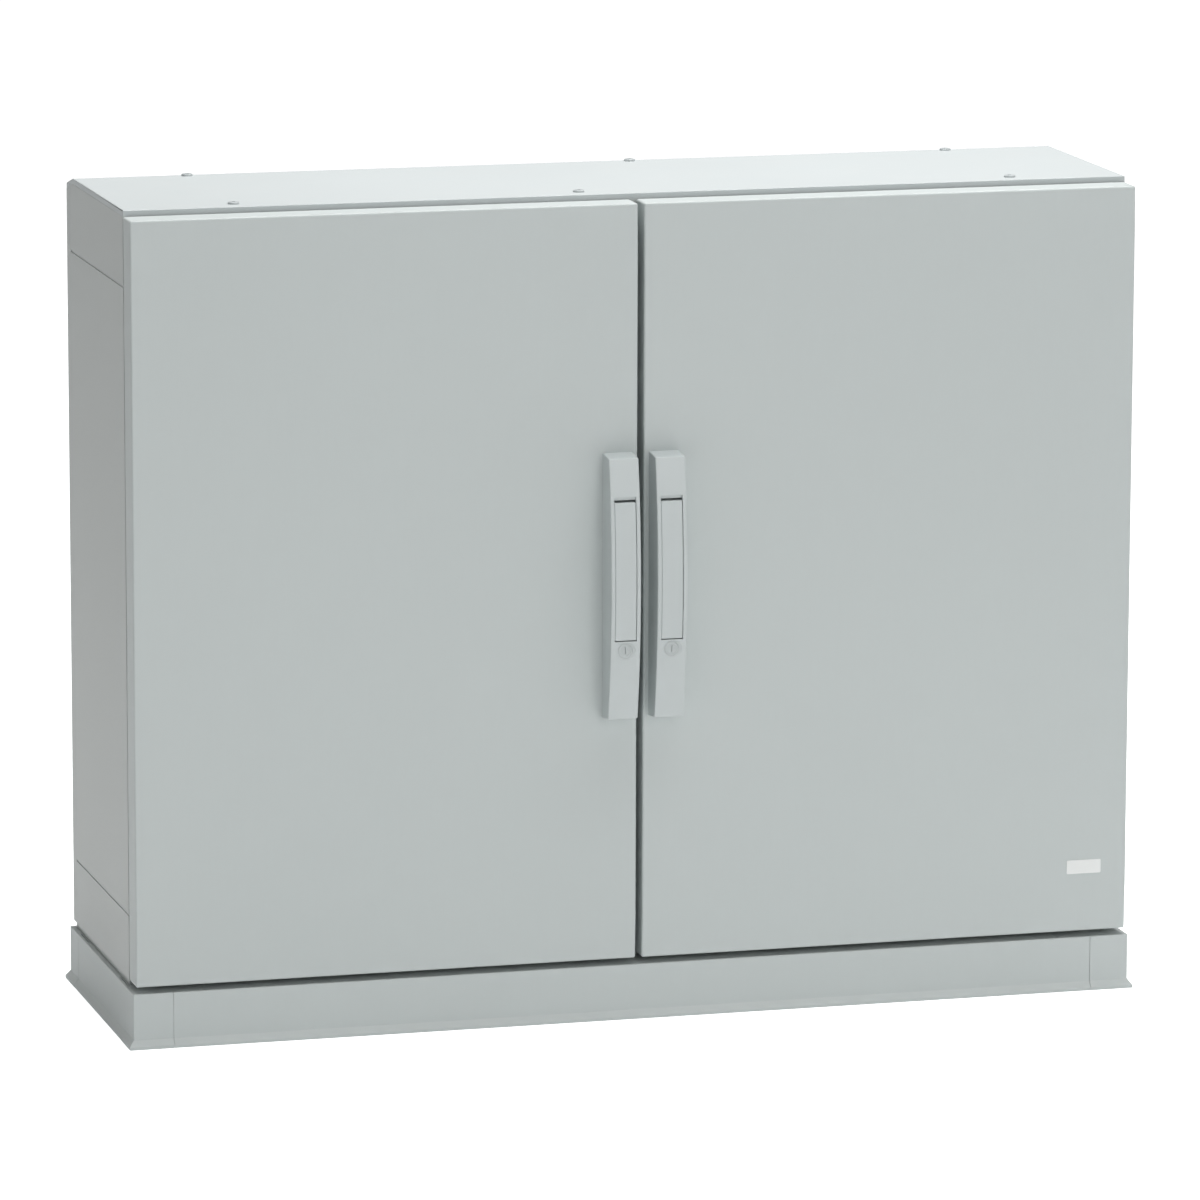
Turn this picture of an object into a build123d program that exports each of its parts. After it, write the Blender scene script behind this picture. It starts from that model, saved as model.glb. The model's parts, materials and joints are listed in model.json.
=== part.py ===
from build123d import *
import os
from math import ceil, cos, hypot, radians, sin, sqrt

# A two-door, floor-standing utility enclosure of moulded glass-fibre polyester on a four-corner plinth.
# Units are millimetres. The origin is the centre of the plinth's base on the ground, +X is to the right
# of somebody facing the doors, +Y runs to the back and +Z is up.

# ---- Driving dimensions: the whole enclosure ----
body_width = 1250.0
body_depth = 332.0
body_height = 934.0
plinth_height = 67.0
shadow_gap = 8.0
wall = 4.0
fit_gap = 0.3

# ---- Doors ----
door_depth = 38.0
door_to_body = 4.0
centre_gap = 8.0
door_skin = 4.0
door_rim = 3.5
door_edge_radius = 2.5
door_corner_radius = 3.0
band_height = 55.0
band_fall = 1.7
hinge_side_inset = 11.0
hinge_back_inset = 23.0
hinge_pin_radius = 3.0
hinge_end_inset = 120.0
hinge_height = 40.0
hinge_swing_clearance = 0.8
hinge_to_gasket = 2.2
arm_thickness = 5.0
arm_drop_angle = 14.0
gasket_width = 9.0
gasket_depth = 14.0

# ---- Body ----
end_flange = 51.0
post_foot_inset = 13.0
post_screw_offset = 7.0
flange_screw_offset = 22.0
lip_thickness = 4.0
post_half_width = 15.0
panel_field_margin_z = 81.0
groove_width = 2.5
groove_depth = 1.2
roof_screw_front_inset = 25.0
roof_screw_rear_inset = 11.0
roof_screw_side_inset = 140.0
front_middle_screw_x = -60.0
rear_middle_screw_x = 75.0
panel_field_depth = 1.2
rear_corner = 22.0
roof_thickness = 7.0
roof_side_inset = 0.3
roof_rim = 40.0
roof_slope_run = 38.0
roof_slope_fall = 10.0
roof_edge_radius = 1.0
base_ring_inset = 12.0
base_ring_reveal = 3.0
base_ring_thickness = 10.0
base_plate = 5.0
upstand_height = 40.0
entry_length = 470.0
entry_width = 190.0
entry_overlap = 15.0
entry_gap = 100.0
entry_setback = 163.0
entry_plate_thickness = 4.0
top_opening_margin = 60.0

# ---- Plinth ----
plinth_side_step = 4.0
plinth_front_step = 0.5
plinth_rear_step = 3.5
plinth_flange = 5.5
plinth_flange_thickness = 3.5
plinth_skirt_height = 11.0
plinth_foot_thickness = 4.5
plinth_ledge = 58.0
side_ledge = 15.0
plinth_wall = 5.0
corner_face = 49.0
corner_foot = 62.0
tab_screw_inset = 14.0
tab_root = 20.0
tab_reach = 25.0
tab_half_height = 15.0
tab_thickness = 3.5
shelf_reach_x = 84.0
shelf_reach_y = 90.0
anchor_hole_radius = 7.0
anchor_inset_x = 29.0
anchor_inset_y = 35.0
body_bolt_radius = 6.0
body_bolt_inset_x = 69.0
body_bolt_inset_y = 72.5

# ---- Handle and lever ----
handle_width = 37.0
handle_length = 319.0
handle_end_height = 28.0
handle_bow = 14.0
handle_offset = 10.5
handle_end_draft = 3.0
handle_edge_radius = 1.5
lever_width = 26.4
lever_length = 168.0
lever_end_to_handle_end = 98.5
lever_thickness = 9.0
lever_sink = 0.6
lever_slit = 6.5
lever_slit_depth = 3.0
lever_end_gap = 1.5
lever_pivot_drop = 8.0
lever_pivot_height = 27.0
lever_travel = 40.0
lever_pin_radius = 3.0
crank_radius = 44.0
crank_width = 8.0
lock_radius = 9.0
lock_drop = 12.5
lock_cam_reach = 14.8
lock_cam_thickness = 3.0

# ---- Espagnolette ----
disc_radius = 36.0
disc_pin_circle = 29.0
disc_thickness = 4.0
disc_below_lever_top = 82.0
slot_clearance = 0.5
rod_width = 12.0
rod_thickness = 5.0
rod_stand_off = 22.0
keeper_overlap = 18.0
keeper_thickness = 4.0
keeper_half_width = 11.0
keeper_screw_offset = 6.0
keeper_foot_reach = 34.0
keeper_hook = 5.0
lock_plate = 4.0

# ---- Mounting plate and rails ----
mounting_plate_thickness = 2.5
plate_joggle = 9.0
plate_flange = 37.0
rail_width = 26.0
rail_depth = 25.0
rail_gauge = 2.5
rail_inset = 69.0
plate_side_margin = 65.0
plate_end_margin = 75.0

# ---- Blank label plate ----
label_width = 44.0
label_height = 17.0
label_thickness = 0.8
label_side_inset = 33.0
label_end_inset = 73.0

# ---- Places that follow from the driving dimensions ----
half_width = body_width / 2
enclosure_depth = door_depth + door_to_body + body_depth
plinth_x = half_width + plinth_side_step
plinth_y = (plinth_front_step + enclosure_depth + plinth_rear_step) / 2
face_y = plinth_front_step - plinth_y
door_back_y = face_y + door_depth
body_y = door_back_y + door_to_body
back_y = body_y + body_depth
body_z = plinth_height + shadow_gap
roof_z = body_z + body_height
wall_top_z = roof_z - roof_thickness
slope_start_y = back_y - roof_slope_run
rear_seam_y = back_y - rear_corner
flange_y = body_y + wall
skin_y = face_y + door_skin
opening_low_z = body_z + end_flange
opening_high_z = wall_top_z - end_flange
low_screw_z = opening_low_z - flange_screw_offset
high_screw_z = opening_high_z + flange_screw_offset
lip_y = skin_y + gasket_depth + fit_gap
door_inner_x = centre_gap / 2
door_middle_z = (body_z + wall_top_z) / 2
pivot_x = half_width - hinge_side_inset
hinge_corner_path = ceil(10 * hypot(hinge_side_inset, hinge_back_inset)) / 10
hinge_leg_x = pivot_x - hinge_corner_path - hinge_swing_clearance
lip_x = hinge_leg_x - arm_thickness - hinge_to_gasket - gasket_width / 2 + lip_thickness / 2
opening_x = lip_x - lip_thickness
hinge_foot_low_x = lip_x + fit_gap
hinge_foot_x = (hinge_leg_x + hinge_foot_low_x) / 2
pivot_y = door_back_y - hinge_back_inset
base_top_z = body_z + base_plate
liner_x = half_width - wall - fit_gap

handle_x = handle_offset + handle_width / 2
handle_low_z = door_middle_z - handle_length / 2
handle_high_z = door_middle_z + handle_length / 2
lever_low_z = handle_low_z + lever_end_to_handle_end
lever_high_z = lever_low_z + lever_length
lever_pivot_y = face_y - lever_pivot_height
lever_pivot_z = lever_high_z - lever_pivot_drop
crank_angle = radians(lever_travel / 2)
crank_pin_y = lever_pivot_y + crank_radius * cos(crank_angle)
crank_pin_z = lever_pivot_z + crank_radius * sin(crank_angle)
rod_travel = 2 * crank_radius * sin(crank_angle)
lock_z = lever_low_z - lock_drop

rod_y = face_y + rod_stand_off
disc_y = rod_y + rod_thickness + 2.5
disc_z = lever_high_z - disc_below_lever_top
disc_pin_rise = rod_travel / 2
disc_pin_near = sqrt(disc_pin_circle ** 2 - disc_pin_rise ** 2)
disc_x = handle_x + (disc_pin_near + disc_pin_circle) / 2
upper_rod_x = handle_x
lower_rod_x = disc_x + (disc_pin_near + disc_pin_circle) / 2
lock_case_y = skin_y + lock_plate
rod_tip_inset = keeper_thickness + 5.5


def block(x, y, z):
    """A box between the low and high values given for each axis."""
    spans = [sorted(pair) for pair in (x, y, z)]
    centre = [(low + high) / 2 for low, high in spans]
    size = [high - low for low, high in spans]
    return Pos(*centre) * Box(*size)


def bar(axis, radius, centre, span):
    """A round bar along one axis, at the other two coordinates in centre, between the ends in span."""
    low, high = sorted(span)
    first, second = centre
    middle = (low + high) / 2
    if axis == "x":
        return Pos(middle, first, second) * Rot(0, 90, 0) * Cylinder(radius, high - low)
    if axis == "y":
        return Pos(first, middle, second) * Rot(90, 0, 0) * Cylinder(radius, high - low)
    return Pos(first, second, middle) * Cylinder(radius, high - low)


def screw(axis, centre, seat, reach, radius):
    """A pan-head screw: seat is the face under its head, and reach the signed length of its shank."""
    drive = 1 if reach > 0 else -1
    head = bar(axis, 1.8 * radius, centre, (seat - drive * 1.2 * radius, seat))
    return head + bar(axis, radius, centre, (seat, seat + reach))


def side_profile(edges, x):
    """A solid whose outline in the (y, z) plane is closed by edges, between the two values of x."""
    low, high = sorted(x)
    return Pos(low, 0, 0) * extrude(Plane.YZ * make_face(edges), high - low)


def polygon_edges(points):
    """The closed run of straight edges through points."""
    return Polyline(*points, close=True).edges()


def mirrored(shape):
    """The left-hand copy of a right-hand shape."""
    return mirror(shape, Plane.YZ)


def save(name, *shapes):
    """Write one sub-part, which may be a group of separate solids."""
    solids = [solid for shape in shapes for solid in shape.solids()]
    body = solids[0] if len(solids) == 1 else Compound(children=solids)
    export_step(body, os.path.join("parts", name + ".step"))


def save_pair(name, *shapes):
    """Write a right-hand sub-part and its left-hand mirror image."""
    save("right_" + name, *shapes)
    save("left_" + name, *[mirrored(shape) for shape in shapes])


# ---- Plinth ----
def plinth_corner():
    """The rear right corner piece: two walls, a foot with the anchor hole and a shelf for the body."""
    start_x = plinth_x - corner_face
    start_y = plinth_y - corner_face
    outer_x = plinth_x + plinth_flange
    outer_y = plinth_y + plinth_flange
    inner_x = plinth_x - plinth_wall
    inner_y = plinth_y - plinth_wall
    height = (0, plinth_height)
    corner = block((start_x, plinth_x), (inner_y, plinth_y), height)
    corner += block((inner_x, plinth_x), (start_y, plinth_y), height)
    outer_edge = corner.edges().filter_by(Axis.Z).group_by(Axis.X)[-1].sort_by(Axis.Y)[-1]
    corner = fillet(outer_edge, 1.5)
    skirt = (0, plinth_skirt_height)
    corner += block((start_x, outer_x), (inner_y, outer_y), skirt)
    corner += block((inner_x, outer_x), (start_y, outer_y), skirt)
    corner -= side_profile(skirt_slope(plinth_y), (start_x - 1, outer_x + 1))
    corner -= Rot(0, 0, -90) * side_profile(skirt_slope(plinth_x), (-outer_y - 1, 1 - start_y))
    foot_x = plinth_x - corner_foot
    foot_y = plinth_y - corner_foot
    corner += block((foot_x, inner_x), (foot_y, inner_y), (0, plinth_foot_thickness))
    shelf_x = (plinth_x - plinth_wall - shelf_reach_x, inner_x)
    shelf_y = (plinth_y - plinth_wall - shelf_reach_y, inner_y)
    corner += block(shelf_x, shelf_y, (plinth_height - plinth_wall, plinth_height))
    holes = [bar("z", anchor_hole_radius, anchor_place(), (-1, plinth_wall + 1))]
    bolt_span = (plinth_height - plinth_wall - 1, plinth_height + 1)
    holes.append(bar("z", body_bolt_radius + 0.5, body_bolt_place(), bolt_span))
    for centre, axis, seat in corner_screw_places():
        holes.append(bar(axis, 2.05, centre, (seat - 1, seat + plinth_wall - 1.5)))
    return corner - holes


def skirt_slope(face):
    """The outline of what is cut off above the sloping skirt of a plinth wall at y = face."""
    outer = face + plinth_flange
    points = [
        (face, plinth_skirt_height),
        (outer, plinth_flange_thickness),
        (outer + 1, plinth_flange_thickness),
        (outer + 1, plinth_skirt_height + 1),
        (face, plinth_skirt_height + 1),
    ]
    return polygon_edges(points)


def anchor_place():
    """The rear right anchor hole."""
    return plinth_x - anchor_inset_x, plinth_y - anchor_inset_y


def body_bolt_place():
    """The rear right bolt between plinth and body."""
    return plinth_x - body_bolt_inset_x, plinth_y - body_bolt_inset_y


def corner_screw_places():
    """The screws through the two panel tabs of the rear right corner: centre, axis and wall face."""
    middle_z = plinth_height / 2
    tab_middle = corner_face - tab_screw_inset
    return [
        ((plinth_x - tab_middle, middle_z), "y", plinth_y - plinth_wall),
        ((plinth_y - tab_middle, middle_z), "x", plinth_x - plinth_wall),
    ]


def plinth_panel(half_length, face, return_half_length, ledge):
    """A plinth panel along X whose outer face is at y = face, with tabs behind the corner walls."""
    height = (0, plinth_height)
    inner = face - wall
    tab_front = face - plinth_wall - fit_gap
    tab_back = tab_front - tab_thickness
    foot_outline = [
        (face, 0),
        (face + plinth_flange, 0),
        (face + plinth_flange, plinth_flange_thickness),
        (face, plinth_skirt_height),
    ]
    panel = block((-half_length, half_length), (inner, face), height)
    panel += side_profile(polygon_edges(foot_outline), (-half_length, half_length))
    ledge_z = (plinth_height - wall, plinth_height)
    panel += block((-return_half_length, return_half_length), (inner - ledge, inner), ledge_z)
    for side in (-1, 1):
        end = side * half_length
        tab_z = (plinth_height / 2 - tab_half_height, plinth_height / 2 + tab_half_height)
        root = end - side * tab_root
        panel += block((root, end), (tab_back, inner), tab_z)
        panel += block((root, end + side * tab_reach), (tab_back, tab_front), tab_z)
        tab_hole = (end + side * (tab_screw_inset + fit_gap), plinth_height / 2)
        panel -= bar("y", 2.3, tab_hole, (tab_back - 1, tab_front + 1))
    return panel


def make_plinth():
    corner = plinth_corner()
    rear_front = {"rear": corner, "front": mirror(corner, Plane.XZ)}
    for place, shape in rear_front.items():
        save(f"plinth_corner_{place}_right", shape)
        save(f"plinth_corner_{place}_left", mirrored(shape))

    joint = fit_gap
    long_half = plinth_x - corner_face - joint
    shelf_end_x = plinth_x - plinth_wall - shelf_reach_x - joint
    long_panel = plinth_panel(long_half, plinth_y, shelf_end_x, plinth_ledge)
    save("plinth_panel_rear", long_panel)
    save("plinth_panel_front", mirror(long_panel, Plane.XZ))

    short_half = plinth_y - corner_face - joint
    shelf_end_y = plinth_y - plinth_wall - shelf_reach_y - joint
    short_panel = Rot(0, 0, -90) * plinth_panel(short_half, plinth_x, shelf_end_y, side_ledge)
    save("plinth_panel_right", short_panel)
    save("plinth_panel_left", mirrored(short_panel))

    tab_back = plinth_wall + fit_gap + tab_thickness
    screws = []
    for centre, axis, face in corner_screw_places():
        seat = face + plinth_wall - tab_back
        screws.append(screw(axis, centre, seat, plinth_wall + 1.5, 2.0))
    screws += [mirrored(shape) for shape in screws]
    screws += [mirror(shape, Plane.XZ) for shape in screws]
    save("plinth_screws", *screws)

    bolt_centre = body_bolt_place()
    shelf_z = plinth_height - plinth_wall
    bolt = bar("z", body_bolt_radius, bolt_centre, (shelf_z - 14, base_top_z))
    bolt += bar("z", 1.8 * body_bolt_radius, bolt_centre, (base_top_z, base_top_z + 7))
    nut = Pos(*bolt_centre, shelf_z - 5) * extrude(RegularPolygon(10, 6), 10, both=True)
    nut = nut & block((-plinth_x, plinth_x), (-plinth_y, plinth_y), (shelf_z - 10, shelf_z))
    nut -= bar("z", body_bolt_radius, bolt_centre, (0, plinth_height))
    bolts = [bolt, mirrored(bolt)]
    bolts += [nut, mirrored(nut)]
    bolts += [mirror(shape, Plane.XZ) for shape in bolts]
    save("plinth_bolts", *bolts)


# ---- Body panels ----
def frame_screw_places(z):
    """Where the liner of a frame is screwed to the right side panel: (y, z) of each screw."""
    return [(body_y + body_depth * share, z) for share in (0.18, 0.5, 0.82)]


def side_panel():
    """The right side panel: outer wall with two shallow grooves, front flange and sealing lip."""
    rear_top = wall_top_z - roof_slope_fall * (rear_seam_y - slope_start_y) / roof_slope_run
    outline = [
        (body_y, body_z),
        (rear_seam_y, body_z),
        (rear_seam_y, rear_top),
        (slope_start_y, wall_top_z),
        (body_y, wall_top_z),
    ]
    panel = side_profile(polygon_edges(outline), (half_width - wall, half_width))
    for z in (body_z + panel_field_margin_z, roof_z - panel_field_margin_z - 10):
        groove_x = (half_width - groove_depth, half_width + 1)
        groove_z = (z - groove_width / 2, z + groove_width / 2)
        panel -= block(groove_x, (body_y - 1, rear_seam_y + 1), groove_z)
    panel += block((opening_x, half_width - wall), (body_y, flange_y), (body_z, wall_top_z))
    lip_z = (opening_low_z - lip_thickness, opening_high_z + lip_thickness)
    panel += block((opening_x, lip_x), (lip_y, body_y), lip_z)
    overlap_y = (rear_seam_y - 14, rear_seam_y)
    overlap_z = (base_top_z + upstand_height + 10, wall_top_z - upstand_height - 20)
    panel += block((half_width - 2 * wall - fit_gap, half_width - wall), overlap_y, overlap_z)
    tongue_x = (half_width - 2 * wall - fit_gap, half_width - wall - fit_gap)
    panel += block(tongue_x, (rear_seam_y, rear_seam_y + 14), overlap_z)
    cuts = []
    for z in (base_top_z + upstand_height / 2, wall_top_z - wall - upstand_height / 2):
        for place in frame_screw_places(z):
            cuts.append(bar("x", 2.05, place, (half_width - wall - 1, half_width - 1.6)))
    for z in hinge_levels():
        for offset in (-12, 12):
            cuts.append(bar("y", 2.6, (hinge_foot_x, z + offset), (body_y - 1, flange_y + 1)))
    return panel - cuts


def rear_panel():
    """The rear panel with its two side returns and inner stiffening ribs."""
    top = wall_top_z - roof_slope_fall
    rear = block((-half_width, half_width), (back_y - wall, back_y), (body_z, top))
    for side in (-1, 1):
        outline = [
            (rear_seam_y + 0.4, body_z),
            (back_y, body_z),
            (back_y, top),
            (rear_seam_y + 0.4, top + roof_slope_fall * (rear_corner - 0.4) / roof_slope_run),
        ]
        inner = side * (half_width - wall)
        rear += side_profile(polygon_edges(outline), (inner, side * half_width))
    field_z = (body_z + panel_field_margin_z, roof_z - panel_field_margin_z - 10)
    field_x = half_width - panel_field_margin_z
    rear -= block((-field_x, field_x), (back_y - panel_field_depth, back_y + 1), field_z)
    depth = (back_y - wall - 1, back_y - 1.4)
    cuts = [bar("y", 2.05, place, depth) for place in rail_screw_places()]
    return rear - cuts


def make_roof():
    """The roof cover: flat, with a rear slope that sheds water, and its six screws."""
    outline = [
        (body_y, wall_top_z),
        (slope_start_y, wall_top_z),
        (back_y, wall_top_z - roof_slope_fall),
        (back_y, roof_z - roof_slope_fall),
        (slope_start_y, roof_z),
        (body_y, roof_z),
    ]
    roof_x = half_width - roof_side_inset
    roof = side_profile(polygon_edges(outline), (-roof_x, roof_x))
    upper_edges = roof.faces().sort_by(Axis.Z)[-1].edges().filter_by(Axis.Y)
    roof = fillet(upper_edges, roof_edge_radius)
    recess_x = half_width - roof_rim
    recess_y = (body_y + roof_rim, slope_start_y - roof_rim)
    roof -= block((-recess_x, recess_x), recess_y, (wall_top_z - 1, roof_z - wall))
    places = roof_screw_places()
    roof -= [bar("z", 3.3, place, (wall_top_z - 1, roof_z + 1)) for place in places]
    save("roof", roof)
    screws = []
    for place in places:
        head = bar("z", 7.0, place, (roof_z, roof_z + 2.6))
        head = fillet(head.edges().sort_by(Axis.Z)[-1], 1.6)
        socket = Pos(*place, roof_z + 1.6) * extrude(RegularPolygon(2.5, 6), 2)
        screws.append(head - socket + bar("z", 3.0, place, (wall_top_z - 9, roof_z)))
    save("roof_screws", *screws)


def roof_screw_places():
    """Six roof screws: the middle ones of the two rows are staggered about the centre."""
    front = body_y + roof_screw_front_inset
    rear = slope_start_y - roof_screw_rear_inset
    outer = half_width - roof_screw_side_inset
    front_row = [(x, front) for x in (-outer, front_middle_screw_x, outer)]
    return front_row + [(x, rear) for x in (-outer, rear_middle_screw_x, outer)]


def cross_frame(plate_z, flange_z, lip_z, liner_z):
    """A tray between the side panels: plate, front flange with a sealing lip per door, and liners."""
    plate_front = flange_y + fit_gap
    frame = block((-liner_x, liner_x), (plate_front, slope_start_y), plate_z)
    inner = opening_x - fit_gap
    frame += block((-inner, inner), (body_y, flange_y), flange_z)
    frame += block((-inner, inner), (flange_y, plate_front), plate_z)
    for side in (-1, 1):
        lip_span = (side * (post_half_width - lip_thickness), side * inner)
        frame += block(lip_span, (lip_y, body_y), lip_z)
        liner_y = (flange_y + 14, slope_start_y)
        frame += block((side * (liner_x - wall), side * liner_x), liner_y, liner_z)
    return frame


def make_frames():
    bottom_lip = (opening_low_z - lip_thickness, opening_low_z)
    liner = (base_top_z, base_top_z + upstand_height)
    bottom = cross_frame((body_z, base_top_z), (body_z, opening_low_z), bottom_lip, liner)
    ring_x = half_width - base_ring_reveal
    ring_front = body_y + base_ring_inset
    ring_back = back_y - base_ring_reveal
    ring_z = (plinth_height, body_z)
    thick = base_ring_thickness
    bottom += block((-ring_x, ring_x), (ring_front, ring_front + thick), ring_z)
    bottom += block((-ring_x, ring_x), (ring_back - thick, ring_back), ring_z)
    for side in (-1, 1):
        bottom += block((side * (ring_x - thick), side * ring_x), (ring_front, ring_back), ring_z)
    bottom += block((-liner_x, liner_x), (slope_start_y, back_y - wall - fit_gap), (body_z, base_top_z))
    bolt_x, bolt_y = body_bolt_place()
    cuts = []
    for x in (-bolt_x, bolt_x):
        for y in (-bolt_y, bolt_y):
            bottom += bar("z", 14.0, (x, y), ring_z)
            cuts.append(bar("z", body_bolt_radius + 0.5, (x, y), (plinth_height - 1, base_top_z + 1)))
    entry_y = entry_centre_y()
    for side in (-1, 1):
        x = side * entry_centre_x()
        span_x = (x - entry_length / 2, x + entry_length / 2)
        span_y = (entry_y - entry_width / 2, entry_y + entry_width / 2)
        cuts.append(block(span_x, span_y, (body_z - 1, base_top_z + 1)))
        for place in entry_screw_places(side):
            cuts.append(bar("z", 2.05, place, (base_top_z - 4, base_top_z + 1)))
    cuts += liner_holes(base_top_z + upstand_height / 2)
    cuts += flange_holes(lower_rod_x, low_screw_z)
    save("bottom_frame", bottom - cuts)

    plate_z = (wall_top_z - wall, wall_top_z)
    top_lip = (opening_high_z, opening_high_z + lip_thickness)
    liner = (wall_top_z - wall - upstand_height, wall_top_z - wall)
    top = cross_frame(plate_z, (opening_high_z, wall_top_z), top_lip, liner)
    hatch_x = (-liner_x + top_opening_margin, liner_x - top_opening_margin)
    hatch_y = (flange_y + top_opening_margin, slope_start_y - top_opening_margin)
    cuts = [block(hatch_x, hatch_y, (wall_top_z - wall - 1, wall_top_z + 1))]
    for place in roof_screw_places():
        cuts.append(bar("z", 3.05, place, (wall_top_z - wall - 1, wall_top_z + 1)))
    cuts += liner_holes(wall_top_z - wall - upstand_height / 2)
    cuts += flange_holes(upper_rod_x, high_screw_z)
    save("top_frame", top - cuts)


def flange_holes(rod_x, z):
    """Blind holes in the back of a front flange for the screws of the centre post and the keepers."""
    post_places = [(-post_screw_offset, z), (post_screw_offset, z)]
    places = post_places + keeper_screw_places(rod_x, z)
    return [bar("y", 2.05, place, (flange_y - 3, flange_y + 1)) for place in places]


def liner_holes(z):
    """Clearance holes for the frame screws in both liners of a frame."""
    holes = []
    for place in frame_screw_places(z):
        hole = bar("x", 2.3, place, (liner_x - wall - 1, liner_x + 1))
        holes += [hole, mirrored(hole)]
    return holes


def make_frame_screws():
    """The small screws inside the body: side panels, centre post and keepers."""
    screws = post_screws() + keeper_screws()
    for z in (base_top_z + upstand_height / 2, wall_top_z - wall - upstand_height / 2):
        for place in frame_screw_places(z):
            fastener = screw("x", place, liner_x - wall, wall + fit_gap + 2.2, 2.0)
            screws += [fastener, mirrored(fastener)]
    save("frame_screws", *screws)


def entry_centre_x():
    """Half the distance between the centres of the two cable entries."""
    return (entry_length + entry_gap) / 2


def entry_centre_y():
    """The cable entries sit a little in front of the middle of the body."""
    return body_y + entry_setback


def entry_screw_places(side):
    """Six screws round one cable-entry plate."""
    x = side * entry_centre_x()
    reach_x = entry_length / 2 + entry_overlap / 2
    reach_y = entry_width / 2 + entry_overlap / 2
    columns = (x - reach_x, x, x + reach_x)
    return [(column, entry_centre_y() + row) for column in columns for row in (-reach_y, reach_y)]


def make_entry_plates():
    screws = []
    plate_z = (base_top_z, base_top_z + entry_plate_thickness)
    for side, name in ((-1, "left"), (1, "right")):
        x = side * entry_centre_x()
        reach_x = entry_length / 2 + entry_overlap
        reach_y = entry_width / 2 + entry_overlap
        middle_y = entry_centre_y()
        plate = block((x - reach_x, x + reach_x), (middle_y - reach_y, middle_y + reach_y), plate_z)
        plate = fillet(plate.edges().filter_by(Axis.Z), 8)
        for place in entry_screw_places(side):
            plate -= bar("z", 2.3, place, (base_top_z - 1, plate_z[1] + 1))
            screws.append(screw("z", place, plate_z[1], -entry_plate_thickness - 3.5, 2.0))
        save(f"{name}_entry_plate", plate)
    save("entry_plate_screws", *screws)


def make_centre_post():
    """The removable post that both doors close against: a channel open to the front, with two feet."""
    end_gap = fit_gap
    post_z = (opening_low_z + end_gap, opening_high_z - end_gap)
    post = block((-post_half_width, post_half_width), (body_y, flange_y), post_z)
    for side in (-1, 1):
        lip_span = (side * (post_half_width - lip_thickness), side * post_half_width)
        post += block(lip_span, (lip_y, body_y), post_z)
    foot_y = (flange_y, flange_y + wall)
    foot_z = (body_z + post_foot_inset, wall_top_z - post_foot_inset)
    post += block((-post_half_width, post_half_width), foot_y, foot_z)
    post -= [bar("y", 2.3, place, (flange_y - 1, flange_y + wall + 1)) for place in post_screw_places()]
    save("centre_post", post)


def post_screw_places():
    """Two screws through each foot of the centre post."""
    columns = (-post_screw_offset, post_screw_offset)
    return [(x, z) for x in columns for z in (low_screw_z, high_screw_z)]


def post_screws():
    """The screws of the centre post."""
    return [screw("y", place, flange_y + wall, -wall - 2.7, 2.0) for place in post_screw_places()]


# ---- Mounting plate ----
def rail_span_x():
    """The low and high x of the right mounting rail."""
    return half_width - rail_inset - rail_width, half_width - rail_inset


def rail_screw_places():
    """The screws that hold both rails to the rear panel."""
    low, high = rail_span_x()
    middle = (low + high) / 2
    levels = (opening_low_z + 14, opening_high_z - 14)
    return [(side * middle, z) for side in (-1, 1) for z in levels]


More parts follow.
